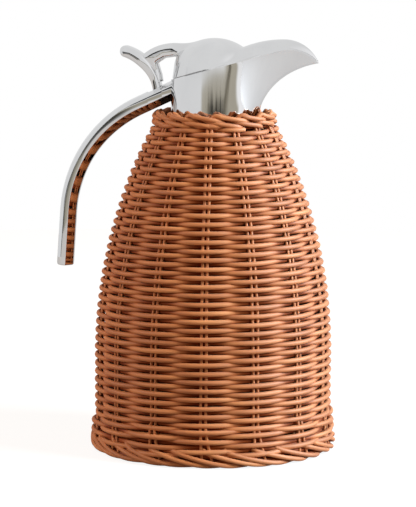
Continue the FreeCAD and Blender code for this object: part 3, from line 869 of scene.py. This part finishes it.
def build_foot():
    """The foot band's two weavers, the stakes' ends among them and the border below."""
    rng = np.random.default_rng(FOOT_SEED)
    rows = BAND_ROWS - 1
    start = BAND_TOP_ROW - rows * ROW_PITCH
    for side in (0, 1):
        path = weaver_path(rng, start, rows, side, band_centre, BAND_WANDER)
        tone = tone_start(FOOT_WEAVER_TONES, lane=side)
        mesh = Mesh()
        mesh.tube(path, WEAVER_DIAMETER, tone, raised=stand_out(path, band_centre))
        mesh.piece(f"foot_weaver_{side + 1}", "pot", "woven_cane", "wicker_foot_band")
    stakes = Mesh()
    border = Mesh()
    for pair, angle in enumerate(STAKE_ANGLES):
        for lane in (0, 1):
            stake = foot_stake(rng, angle, lane, start - STUB_BELOW)
            stakes.tube(stake, STAKE_DIAMETER, tone_start(FOOT_STAKE_TONES, pair, lane))
            strand = foot_border_strand(rng, angle, lane)
            border.tube(strand, FOOT_STRAND, tone_start(FOOT_BORDER_TONES, pair, lane))
    # Dark rings behind the border's openings, painted fully in the recess shade.
    turn = np.linspace(0, 2 * math.pi, FOOT_CORE_POINTS)
    for inset, height, thickness in FOOT_SHADE_RINGS:
        ring = cylindrical(FOOT_EDGE - inset, turn, height)
        border.tube(ring, thickness, FOOT_CORE_TONE, raised=-WEAVE_SWING)
    stakes.piece("foot_stakes", "pot", "woven_cane", "wicker_foot_band")
    border.piece("foot_border_strands", "pot", "woven_cane", "wicker_foot_border")


def build_base():
    """The woven disc under the flask: a spiral weaver over and under straight spokes."""
    mesh = Mesh()
    middle = (base_low[2] + base_high[2]) / 2
    rim = base_high[0] - BASE_STRAND
    turns = (rim - BASE_MIDDLE) / BASE_PITCH
    angle = np.linspace(0, turns * 2 * math.pi, int(turns * BASE_SPOKES * BASE_SAMPLES))
    radius = part_way(BASE_MIDDLE, rim, angle / angle[-1])
    z = middle + BASE_SWING * np.cos(BASE_SPOKES / 2 * angle)
    mesh.tube(cylindrical(radius, angle, z), BASE_STRAND, BASE_WEAVER_TONE, BASE_SIDES)
    reach = np.linspace(SPOKE_START, rim, SPOKE_POINTS)
    for spoke in range(BASE_SPOKES):
        path = cylindrical(reach, np.full(SPOKE_POINTS, 2 * math.pi * spoke / BASE_SPOKES), middle)
        mesh.tube(path, BASE_STRAND, tone_start(BASE_SPOKE_TONES, spoke), BASE_SIDES)
    mesh.piece("base_weave", "pot", "woven_cane", "wicker_base")


# Collar with its spout


def rim_height(x):
    """Height of the collar's rim: a straight slope that bends over towards the tip of the spout."""
    bend_z = RIM_BACK_HEIGHT + math.tan(RIM_SLOPE) * (RIM_BEND_X + COLLAR_RADIUS)
    centre_x = RIM_BEND_X + RIM_BEND_RADIUS * math.sin(RIM_SLOPE)
    centre_z = bend_z - RIM_BEND_RADIUS * math.cos(RIM_SLOPE)
    slope = bend_z + math.tan(RIM_SLOPE) * (x - RIM_BEND_X)
    bend = centre_z + np.sqrt(np.maximum(RIM_BEND_RADIUS ** 2 - (x - centre_x) ** 2, 0.0))
    return np.where(x < RIM_BEND_X, slope, bend)


def circle(angle):
    return np.stack([np.cos(angle), np.sin(angle)], axis=1)


def spout_rim():
    """Half the rim's plan from the back to the tip, and the matching angles on the round foot."""
    tip = np.array([SPOUT_TIP_X - SPOUT_TIP_RADIUS, 0.0])
    start = math.acos((COLLAR_RADIUS - SPOUT_TIP_RADIUS) / tip[0])
    back = np.linspace(math.pi, start, COLLAR_COLUMNS)
    along = np.linspace(0.0, 1.0, COLLAR_COLUMNS)[1:]
    nose = np.linspace(start, 0.0, NOSE_COLUMNS)[1:]
    normal = np.array([math.cos(start), math.sin(start)])
    flank = part_way(COLLAR_RADIUS * normal, tip + SPOUT_TIP_RADIUS * normal, along[:, None])
    plan = np.concatenate([COLLAR_RADIUS * circle(back), flank, tip + SPOUT_TIP_RADIUS * circle(nose)])
    foot = np.concatenate([back, part_way(start, start * NOSE_SHARE, along), nose * NOSE_SHARE])
    return plan, foot


def build_collar():
    """A round collar whose front swells forward, column by column, into the spout's lip."""
    plan, foot = spout_rim()
    plan = np.concatenate([plan, plan[-2:0:-1] * [1, -1]])
    foot = np.concatenate([foot, -foot[-2:0:-1]])
    top = rim_height(plan[:, 0])
    base = COLLAR_RADIUS * circle(foot)
    rows = []
    for z in np.linspace(collar_low[2], KEEL_START, COLLAR_LOW_ROWS):
        rows.append(np.column_stack([base, np.full(len(foot), z)]))
    for turn in np.linspace(LIP_FIRST, 1.0, SPOUT_ROWS) * LIP_TURN:
        place = part_way(base, plan, (1 - math.cos(turn)) / (1 - math.cos(LIP_TURN)))
        rows.append(np.column_stack([place, part_way(KEEL_START, top, math.sin(turn) / math.sin(LIP_TURN))]))
    mesh = Mesh()
    mesh.add(np.concatenate(rows), [face[::-1] for face in grid_faces(len(rows), len(foot))])
    collar = mesh.piece("collar_shell", "pot", "polished_chrome", "collar")
    thicken(collar, COLLAR_WALL)
    soft = collar.modifiers.new("soft_edges", "BEVEL")
    soft.width = COLLAR_EASE * MM
    soft.segments = COLLAR_EASE_STEPS
    soft.limit_method = "ANGLE"
    soft.angle_limit = SHARP_ANGLE


# Lid


def smooth_union(a, b, blend):
    overlap = np.maximum(blend - np.abs(a - b), 0.0)
    return np.minimum(a, b) - overlap ** 2 / (4 * blend)


def dome_field(x, y, z):
    """Distance outside the lid's dome: a leaning skirt, a round shoulder and a flatter crown."""
    centre_r = LID_RADIUS - DOME_SIDE_RADIUS
    rise = DOME_TOP - DOME_BASE
    crown = (rise ** 2 + centre_r ** 2 - DOME_SIDE_RADIUS ** 2) / (2 * (rise - DOME_SIDE_RADIUS))
    out = np.hypot(x, y) - centre_r
    up = z - DOME_BASE
    shoulder = np.hypot(out, up) - DOME_SIDE_RADIUS
    top = np.hypot(out + centre_r, z - DOME_TOP + crown) - crown
    on_crown = up * centre_r > out * (crown - rise)
    skirt = out * math.cos(SKIRT_LEAN) + up * math.sin(SKIRT_LEAN) - DOME_SIDE_RADIUS
    on_skirt = up < DOME_SIDE_RADIUS * math.sin(SKIRT_LEAN)
    return np.where(on_skirt, skirt, np.where(on_crown, top, shoulder))


def beak_field(x, y, z):
    """Roughly the distance outside the beak: round in section, from a ridge line down to the rim."""
    reach = BEAK_END_X - BEAK_NOSE
    lean = math.asin((LID_RADIUS - BEAK_NOSE) / reach)
    flank = LID_RADIUS / math.cos(lean) - x * math.tan(lean)
    nose = np.sqrt(np.maximum(BEAK_NOSE ** 2 - (x - reach) ** 2, 0.0))
    on_flank = x < reach + BEAK_NOSE * math.sin(lean)
    half = np.where(on_flank, np.maximum(flank, BEAK_NOSE / 2), nose)
    half = np.maximum(half, BEAK_LEAST)
    radius = np.where(x < CREST_X, CREST_BACK_RADIUS, CREST_FRONT_RADIUS)
    drop = radius - np.sqrt(np.maximum(radius ** 2 - (x - CREST_X) ** 2, 0.0))
    rim = rim_height(x) + LID_GAP
    height = np.maximum(CREST_Z - drop - rim, BEAK_LEAST)
    section = (half ** 2 + height ** 2) / (2 * height)
    low_part = np.hypot(y, z - rim - height + section) - section
    share = np.maximum(np.hypot(y / half, (z - rim) / height), TINY)
    growth = np.maximum(np.hypot(y / half ** 2, (z - rim) / height ** 2) / share, TINY)
    round_part = np.where(height < half, low_part, (share - 1) / growth)
    return np.maximum(round_part, np.maximum(x - BEAK_END_X, -x))


def arc_through(points, count):
    """Points along the circle through three points."""
    (ax, ay), (bx, by), (cx, cy) = points
    system = 2 * np.array([[bx - ax, by - ay], [cx - ax, cy - ay]])
    squares = [bx ** 2 + by ** 2 - ax ** 2 - ay ** 2, cx ** 2 + cy ** 2 - ax ** 2 - ay ** 2]
    centre = np.linalg.solve(system, squares)
    turns = np.unwrap([math.atan2(q - centre[1], p - centre[0]) for p, q in points])
    radius = math.hypot(ax - centre[0], ay - centre[1])
    return centre + radius * circle(np.linspace(turns[0], turns[2], count))


ARCH_OUTLINE = np.concatenate([arc_through(ARCH_TOP, ARCH_TOP_POINTS), ARCH_FOOT, ARCH_WINDOW])


def outline_distance(outline, x, z):
    """Signed distance to a closed outline, negative inside."""
    nearest = np.full(x.shape, np.inf)
    inside = np.zeros(x.shape, bool)
    for (ax, az), (bx, bz) in zip(outline, np.roll(outline, -1, axis=0)):
        run = bx - ax
        rise = bz - az
        share = np.clip(((x - ax) * run + (z - az) * rise) / (run ** 2 + rise ** 2), 0.0, 1.0)
        nearest = np.minimum(nearest, np.hypot(x - ax - share * run, z - az - share * rise))
        crosses = (az > z) != (bz > z)
        at = ax + (z - az) * run / (rise or TINY)
        inside ^= crosses & (x < at)
    return np.where(inside, -nearest, nearest)


def arch_field(x, y, z):
    """Distance outside the arch that joins the dome to the lever, cut along the lever's face."""
    profile = outline_distance(ARCH_OUTLINE, x, z) + ARCH_ROUND
    drawn_in = LEG_TAPER * np.clip((LEG_TOP - z) / LEG_RUN, 0.0, 1.0)
    side = np.abs(y) - ARCH_HALF_WIDTH + drawn_in + ARCH_ROUND
    outside = np.hypot(np.maximum(profile, 0.0), np.maximum(side, 0.0))
    bar = np.minimum(np.maximum(profile, side), 0.0) + outside - ARCH_ROUND
    from_centre = np.hypot(x - LEVER_CENTRE[0], z - LEVER_CENTRE[1])
    lever = LEVER_RADIUS + LEVER_THICKNESS / 2 - ARCH_SINK - from_centre
    return np.maximum(bar, lever)


def lid_field(x, y, z):
    """Distance outside the whole lid, with the arch blended softly into the dome above its legs."""
    field = smooth_union(dome_field(x, y, z), beak_field(x, y, z), BEAK_BLEND)
    behind = x < ARCH_FRONT
    if behind.any():
        bx, by, bz = x[behind], y[behind], z[behind]
        rise = np.clip((bz - LEG_TOP) / ARCH_BLEND_RUN, 0.0, 1.0)
        blend = part_way(LEG_BLEND, ARCH_BLEND, smooth_step(rise))
        field[behind] = smooth_union(field[behind], arch_field(bx, by, bz), blend)
    return field


def surface_net(values, origin):
    """A point in each grid cell that the zero surface passes through, and the quads between them."""
    inside = values < 0
    shape = np.array(inside.shape) - 1
    steps = np.eye(3, dtype=int)
    corners = [np.array(corner) for corner in np.ndindex(2, 2, 2)]
    total = np.zeros(shape, int)
    for corner in corners:
        total += inside[tuple(slice(c, c + n) for c, n in zip(corner, shape))]
    cells = np.argwhere((total > 0) & (total < len(corners)))
    number = np.full(shape, -1)
    number[tuple(cells.T)] = np.arange(len(cells))
    summed = np.zeros((len(cells), 3))
    hits = np.zeros(len(cells))
    for a in corners:
        for axis in np.flatnonzero(a == 0):
            b = a + steps[axis]
            va = values[tuple((cells + a).T)]
            vb = values[tuple((cells + b).T)]
            cut = (va < 0) != (vb < 0)
            share = np.where(cut, va / np.where(cut, va - vb, 1.0), 0.0)
            summed[cut] += (a + share[:, None] * (b - a))[cut]
            hits[cut] += 1
    faces = []
    for axis in range(3):
        u, v = steps[(axis + 1) % 3], steps[(axis + 2) % 3]
        first = inside[tuple(slice(0, n + 1 - d) for n, d in zip(shape, steps[axis]))]
        second = inside[tuple(slice(d, n + 1) for n, d in zip(shape, steps[axis]))]
        for place in np.argwhere(first != second):
            around = np.array([place - u - v, place - v, place, place - u])
            if (around < 0).any() or (around >= shape).any():
                continue
            quad = number[tuple(around.T)]
            faces.append(quad if inside[tuple(place)] else quad[::-1])
    return (cells + summed / hits[:, None]) * CELL + origin, faces


def settled(field, points):
    """Points moved onto the zero surface of a field."""
    probes = PROBE * np.eye(3)
    for _ in range(SETTLE_STEPS):
        slope = np.stack([
            (field(*(points + probe).T) - field(*(points - probe).T)) / (2 * PROBE) for probe in probes
        ], axis=1)
        steepness = np.maximum((slope ** 2).sum(1), LEAST_SLOPE)
        move = slope * (field(*points.T) / steepness)[:, None]
        points = points - np.clip(move, -CELL, CELL)
    return points


def above_zero(points, faces):
    """What is left of a mesh above height 0."""
    cut = bmesh.new()
    made = [cut.verts.new(place) for place in points]
    for face in faces:
        cut.faces.new([made[k] for k in face])
    everything = cut.verts[:] + cut.edges[:] + cut.faces[:]
    bmesh.ops.bisect_plane(
        cut, geom=everything, plane_co=(0, 0, 0), plane_no=(0, 0, 1), clear_inner=True
    )
    cut.verts.index_update()
    points = np.array([vert.co for vert in cut.verts])
    faces = [[vert.index for vert in face.verts] for face in cut.faces]
    cut.free()
    return points, faces


def lid_floor(x):
    return rim_height(x) + LID_GAP


def build_lid():
    """The lid's shell. The grid's rows follow the rim, so that the lid is cut level in the grid."""
    low = (ARCH_BACK, -LID_RADIUS - GRID_MARGIN, -CELLS_BELOW * CELL)
    high = (BEAK_END_X + GRID_FRONT_MARGIN, LID_RADIUS + GRID_MARGIN, GRID_HEIGHT)
    x, y, z = np.meshgrid(*(np.arange(a, b + CELL, CELL) for a, b in zip(low, high)), indexing="ij")
    points, faces = surface_net(lid_field(x, y, z + lid_floor(x)), low)
    points[:, 2] += lid_floor(points[:, 0])
    points = settled(lid_field, points)
    points[:, 2] -= lid_floor(points[:, 0])
    points, faces = above_zero(points, faces)
    points[:, 2] += lid_floor(points[:, 0])
    mesh = Mesh()
    mesh.add(points, faces)
    lid = mesh.piece("lid_cover_shell", "lid", "polished_chrome", "lid_cover")
    thicken(lid, LID_WALL)


# Thumb lever


def round_end(to_tip, reach):
    """0 at a round tip, growing to 1 where the rounding has run its reach."""
    return np.sqrt(1 - (1 - np.minimum(to_tip / reach, 1.0)) ** 2)


def squared(value):
    """A sine or cosine drawn towards a square."""
    return np.sign(value) * np.abs(value) ** LEVER_SQUARENESS


def build_lever():
    """A curved bar with round edges, wide at its round tip and narrow at its foot."""
    share = np.sin(np.linspace(0.0, math.pi / 2, LEVER_POINTS))
    angle = np.radians(part_way(LEVER_FOOT_ANGLE, LEVER_TIP_ANGLE, share))
    grow = smooth_step(np.clip((share - LEVER_GROW_START) / LEVER_GROW_RUN, 0.0, 1.0))
    to_tip = (1.0 - share) * (angle[-1] - angle[0]) * LEVER_RADIUS
    half_width = part_way(LEVER_FOOT_HALF_WIDTH, LEVER_HALF_WIDTH, grow)
    half_width = half_width * part_way(LEVER_TIP_WIDTH, 1.0, round_end(to_tip, LEVER_HALF_WIDTH))
    half_depth = part_way(LEVER_FOOT_THICKNESS, LEVER_THICKNESS, grow) / 2
    half_depth = half_depth * part_way(LEVER_TIP_DEPTH, 1.0, round_end(to_tip, LEVER_THICKNESS / 2))
    turn = np.linspace(0, 2 * math.pi, LEVER_SIDES, endpoint=False)
    radius = LEVER_RADIUS + half_depth[:, None] * squared(np.sin(turn))
    points = np.stack([
        LEVER_CENTRE[0] + radius * np.cos(angle)[:, None],
        -half_width[:, None] * squared(np.cos(turn)),
        LEVER_CENTRE[1] + radius * np.sin(angle)[:, None],
    ], axis=2)
    mesh = Mesh()
    mesh.add(points.reshape(-1, 3), capped_faces(LEVER_POINTS, LEVER_SIDES))
    mesh.piece("lever_blade", "lid", "polished_chrome", "thumb_lever")


# Handle and hinge pin


def rounded(corner, before, after, radius, count):
    """Points of a round corner between two neighbouring corners."""
    to_before = (before - corner) / np.linalg.norm(before - corner)
    to_after = (after - corner) / np.linalg.norm(after - corner)
    half = math.acos(np.clip(to_before @ to_after, -1.0, 1.0)) / 2
    reach = radius / math.tan(half)
    middle = (to_before + to_after) / np.linalg.norm(to_before + to_after)
    centre = corner + middle * radius / math.sin(half)
    first = corner + to_before * reach - centre
    last = corner + to_after * reach - centre
    ring = part_way(first, last, np.linspace(0.0, 1.0, count)[:, None])
    return centre + ring / np.linalg.norm(ring, axis=1)[:, None] * radius


def handle_section(share):
    """Half of the handle's section, (side, depth) from the crown's middle to the inside's middle."""
    half = part_way(*HANDLE_HALF_WIDTH, share)
    crown = part_way(*HANDLE_CROWN, share)
    flank = part_way(*HANDLE_FLANK, share)
    depth = part_way(*HANDLE_DEPTH, share)
    arc = (half ** 2 + crown ** 2) / (2 * crown)
    turn = math.asin(half / arc)
    shoulder = np.array([half, crown])
    before = shoulder - [math.cos(turn), math.sin(turn)]
    low = np.array([half, flank])
    inner = np.array([HANDLE_INNER_HALF_WIDTH, depth])
    middle = np.array([0.0, depth])
    top_round = rounded(shoulder, before, low, HANDLE_EASE, HANDLE_EASE_POINTS)
    low_round = rounded(low, shoulder, inner, HANDLE_LOW_EASE, HANDLE_INNER_POINTS)
    inner_round = rounded(inner, low, middle, HANDLE_INNER_EASE, HANDLE_INNER_POINTS)
    beyond_slot = np.linspace(SLOT_HALF_WIDTH, top_round[0, 0], HANDLE_CROWN_POINTS)[1:-1]
    side = np.concatenate([[0.0, SLOT_HALF_WIDTH, SLOT_HALF_WIDTH], beyond_slot])
    crown_points = np.column_stack([side, arc - np.sqrt(arc ** 2 - side ** 2)])
    return np.concatenate([crown_points, top_round, low_round, inner_round, [middle]])


def build_handle():
    """A bar with a crowned back, flat flanks and a bevelled inside, slotted for the lever's foot."""
    root = np.array([-COLLAR_RADIUS - HANDLE_ROOT_RUN, RIM_BACK_HEIGHT - HANDLE_ROOT_DROP])
    angle = np.radians(np.linspace(HANDLE_ROOT_ANGLE, HANDLE_LOWER_ANGLE, HANDLE_BEND_POINTS))
    outward = circle(angle)
    to_root = np.stack([np.sin(angle), -np.cos(angle)], axis=1)
    line = root + (outward - outward[0]) * HANDLE_RADIUS
    hidden = COLLAR_RADIUS - COLLAR_WALL / 2
    full, front, rear = (np.array([-hidden, SLOT_FRONT, SLOT_REAR]) - root[0]) / to_root[0, 0]
    rows = []

    def add_row(place, inward, share, slot=0.0, shrink=0.0, run=0.0):
        half = handle_section(share)
        half[:2, 1] += slot
        whole = np.concatenate([half, half[-2:0:-1] * [-1, 1]])
        middle = np.array([0.0, half[-1, 1] / 2])
        whole = middle + (whole - middle) * (1 - shrink / middle[1])
        x = place[0] + inward[0] * whole[:, 1]
        z = place[1] + inward[1] * whole[:, 1]
        reach = (-np.sqrt(hidden ** 2 - whole[:, 0] ** 2) - x) / to_root[0, 0] * run / full
        rows.append(np.column_stack([x + to_root[0, 0] * reach, whole[:, 0], z + to_root[0, 1] * reach]))

    slotted = [(front, SLOT_DEPTH), (rear, SLOT_DEPTH)]
    for run, slot in [(full, 0.0), (front, 0.0), *slotted, (rear, 0.0), (rear / 2, 0.0)]:
        add_row(line[0], -outward[0], 1.0, slot, run=run)
    for k in range(HANDLE_BEND_POINTS):
        share = max(0.0, 1.0 - k / (HANDLE_BEND_POINTS - 1) / HANDLE_ROOT_SHARE)
        add_row(line[k], -outward[k], smooth_step(share))
    length = (line[-1, 1] - HANDLE_END_Z) / to_root[-1, 1]
    for run in np.linspace(0.0, length - HANDLE_EASE, HANDLE_LOWER_POINTS)[1:]:
        add_row(line[-1] - to_root[-1] * run, -outward[-1], 0.0)
    for turn in HANDLE_END_TURNS:
        run = length - HANDLE_EASE * (1 - math.sin(turn))
        add_row(line[-1] - to_root[-1] * run, -outward[-1], 0.0, shrink=HANDLE_EASE * (1 - math.cos(turn)))
    mesh = Mesh()
    mesh.add(np.concatenate(rows), capped_faces(len(rows), len(rows[0])))
    handle = mesh.piece("handle_bar", "pot", "polished_chrome", "handle")
    handle.data.set_sharp_from_angle(angle=SHARP_ANGLE)


def build_pin():
    """The hinge pin, its ends just below the handle's crown."""
    low, high = node_box("hinge_pin")
    middle = (low + high) / 2
    path = np.tile(middle, (PIN_POINTS, 1))
    path[:, 1] = np.linspace(-PIN_HALF_LENGTH, PIN_HALF_LENGTH, PIN_POINTS)
    mesh = Mesh()
    mesh.tube(path, high[2] - low[2], sides=PIN_SIDES)
    pin = mesh.piece("hinge_pin_rod", "pot", "polished_chrome", "hinge_pin")
    pin.data.set_sharp_from_angle(angle=SHARP_ANGLE)


build_wall()
build_top_border()
build_foot()
build_base()
build_collar()
build_lid()
build_lever()
build_handle()
build_pin()

# Materials of the frame's own parts
for part in frame["record"]["subparts"]:
    finish = FINISH[part["material_slot"]]
    # The jacket gets the painted shade of the gaps in the weave.
    if part["node"] == "outer_jacket":
        finish = SHADED_JACKET_STEEL
    node = frame["nodes"][part["node"]]
    node.data.materials.clear()
    node.data.materials.append(finish)

# Stage, light and camera


def build_floor():
    """A pale floor that keeps the object's shadow, greyer where the metal mirrors it."""
    turn = np.linspace(0, 2 * math.pi, FLOOR_SIDES, endpoint=False)
    mesh = bpy.data.meshes.new("floor")
    points = cylindrical(FLOOR_RADIUS, turn, -FLOOR_DROP)
    mesh.from_pydata(points.tolist(), [], [tuple(range(FLOOR_SIDES))])
    floor = scene_object("floor", mesh)
    material, tree, shader = new_material("floor")
    direct, mirrored = tree.ray_kinds()
    white = tree.product(direct, FLOOR_WHITE)
    grey = tree.product(mirrored, FLOOR_MIRRORED)
    tree.fill(shader, {
        "Base Color": (*FLOOR_TONE, 1.0),
        "Roughness": 1.0,
        "Specular IOR Level": 0.0,
        "Emission Color": (1.0, 1.0, 1.0, 1.0),
        "Emission Strength": tree.math("ADD", white, grey),
    })
    mesh.materials.append(material)


def opening_share(tree, azimuth, height):
    """1 inside the studio's opening, whose top falls off towards both sides."""
    middle = (OPENING_LEFT + OPENING_RIGHT) / 2
    away = tree.math("ABSOLUTE", tree.math("SUBTRACT", azimuth, middle))
    away = tree.math("DIVIDE", away, OPENING_RIGHT - middle)
    fall = tree.product(tree.math("POWER", away, OPENING_ROUND_POWER), OPENING_ROUND)
    top = tree.edge(tree.math("ADD", height, fall), *OPENING_TOP)
    foot = tree.edge(height, *OPENING_FOOT)
    wide = tree.between(azimuth, OPENING_LEFT, OPENING_RIGHT, SIDE_SOFT, SIDE_SOFT)
    return tree.product(wide, top, foot)


def room_colour(tree, direction, azimuth, height):
    """The room seen in the opening, with a dark stretch that ends in uneven streaks."""
    streaks = tree.noise(tree.stretched(direction, STREAK_SCALE))
    ragged = tree.math("ADD", height, tree.span(streaks, -STREAK_UNEVEN, STREAK_UNEVEN))
    top = tree.edge(ragged, *STREAK_TOP)
    foot = tree.edge(height, *STREAK_FOOT)
    soft = STREAK_WIDTH / 3
    reach = STREAK_WIDTH - soft
    wide = tree.between(azimuth, STREAK_AZIMUTH - reach, STREAK_AZIMUTH + reach, soft, soft)
    return tree.ramp(tree.product(wide, top, foot), ROOM_TONES)


def studio_colour(tree):
    """What shiny parts mirror: a pale studio with a dark opening towards the photographer."""
    direction = tree.place("Generated")
    parts = tree.node("ShaderNodeSeparateXYZ", {0: direction}).outputs
    azimuth = tree.math("DEGREES", tree.math("ARCTAN2", parts["X"], tree.product(parts["Y"], -1.0)))
    height = tree.math("DEGREES", tree.math("ARCSINE", parts["Z"]))
    pale = tree.ramp(tree.edge(parts["X"], *STUDIO_CHANGE), STUDIO_TONES)
    room = room_colour(tree, direction, azimuth, height)
    seen = tree.mixed(opening_share(tree, azimuth, height), pale, room)
    for left, right, low, high, low_soft, high_soft, shade in DARK_BANDS:
        wide = tree.between(azimuth, left, right, SIDE_SOFT, SIDE_SOFT)
        tall = tree.between(height, low, high, low_soft, high_soft)
        shading = [(0.0, (1.0, 1.0, 1.0)), (1.0, (shade, shade, shade))]
        seen = tree.tinted(seen, tree.ramp(tree.product(wide, tall), shading))
    return seen


def build_world():
    """White behind the object, the studio for what mirrors it, and a warm fill for the rest."""
    world = bpy.data.worlds.new("studio")
    bpy.context.scene.world = world
    tree = Tree(world)
    direct, mirrored = tree.ray_kinds()
    fill = tree.nodes["Background"]
    tree.fill(fill, {"Color": (*WARM, 1.0), "Strength": FILL_LEVEL})
    studio = tree.node("ShaderNodeBackground", {"Color": studio_colour(tree)})
    white = tree.node("ShaderNodeBackground", {"Color": (1.0, 1.0, 1.0, 1.0)})
    shown = fill.outputs[0]
    for share, background in ((mirrored, studio), (direct, white)):
        inputs = {0: share, 1: shown, 2: background.outputs[0]}
        shown = tree.node("ShaderNodeMixShader", inputs).outputs[0]
    tree.fill(tree.nodes["World Output"], {"Surface": shown})


def area_light(name, place, size, power, colour):
    data = bpy.data.lights.new(name, "AREA")
    data.shape = "RECTANGLE"
    data.size, data.size_y = size
    data.energy = power
    data.color = colour
    lamp = scene_object(name, data)
    lamp.location = place
    lamp.rotation_mode = "QUATERNION"
    lamp.rotation_quaternion = (Vector(LAMP_TARGET) - Vector(place)).to_track_quat("-Z", "Y")
    return lamp


def build_lamps():
    """Lamps for everything, and lamps that give the cane alone its shine."""
    for lamp in LAMPS:
        area_light(*lamp).visible_glossy = False
    woven = bpy.data.collections.new("woven")
    for piece in bpy.data.objects:
        if piece.type == "MESH" and FINISH["woven_cane"] in piece.data.materials[:1]:
            woven.objects.link(piece)
    for lamp in CANE_LAMPS:
        shine = area_light(*lamp)
        shine.visible_diffuse = False
        shine.light_linking.receiver_collection = woven


def build_camera():
    azimuth = math.radians(CAMERA_AZIMUTH)
    away = np.array([math.sin(azimuth), -math.cos(azimuth), 0.0])
    right = np.array([math.cos(azimuth), math.sin(azimuth), 0.0])
    place = Vector((away * CAMERA_DISTANCE + [0, 0, CAMERA_HEIGHT]) * MM)
    aim = Vector((right * -AIM_LEFT + [0, 0, AIM_HEIGHT]) * MM)
    data = bpy.data.cameras.new("camera")
    data.sensor_width = SENSOR
    data.lens = FOCAL_PIXELS / PHOTO_HEIGHT * SENSOR
    camera = scene_object("camera", data)
    camera.rotation_mode = "QUATERNION"
    look = (aim - place).to_track_quat("-Z", "Y").to_matrix()
    roll = Matrix.Rotation(math.radians(CAMERA_ROLL), 3, "Z")
    camera.rotation_quaternion = (look @ roll).to_quaternion()
    camera.location = place
    bpy.context.scene.camera = camera


build_floor()
build_world()
build_lamps()
build_camera()
bpy.context.scene.view_settings.view_transform = "Standard"
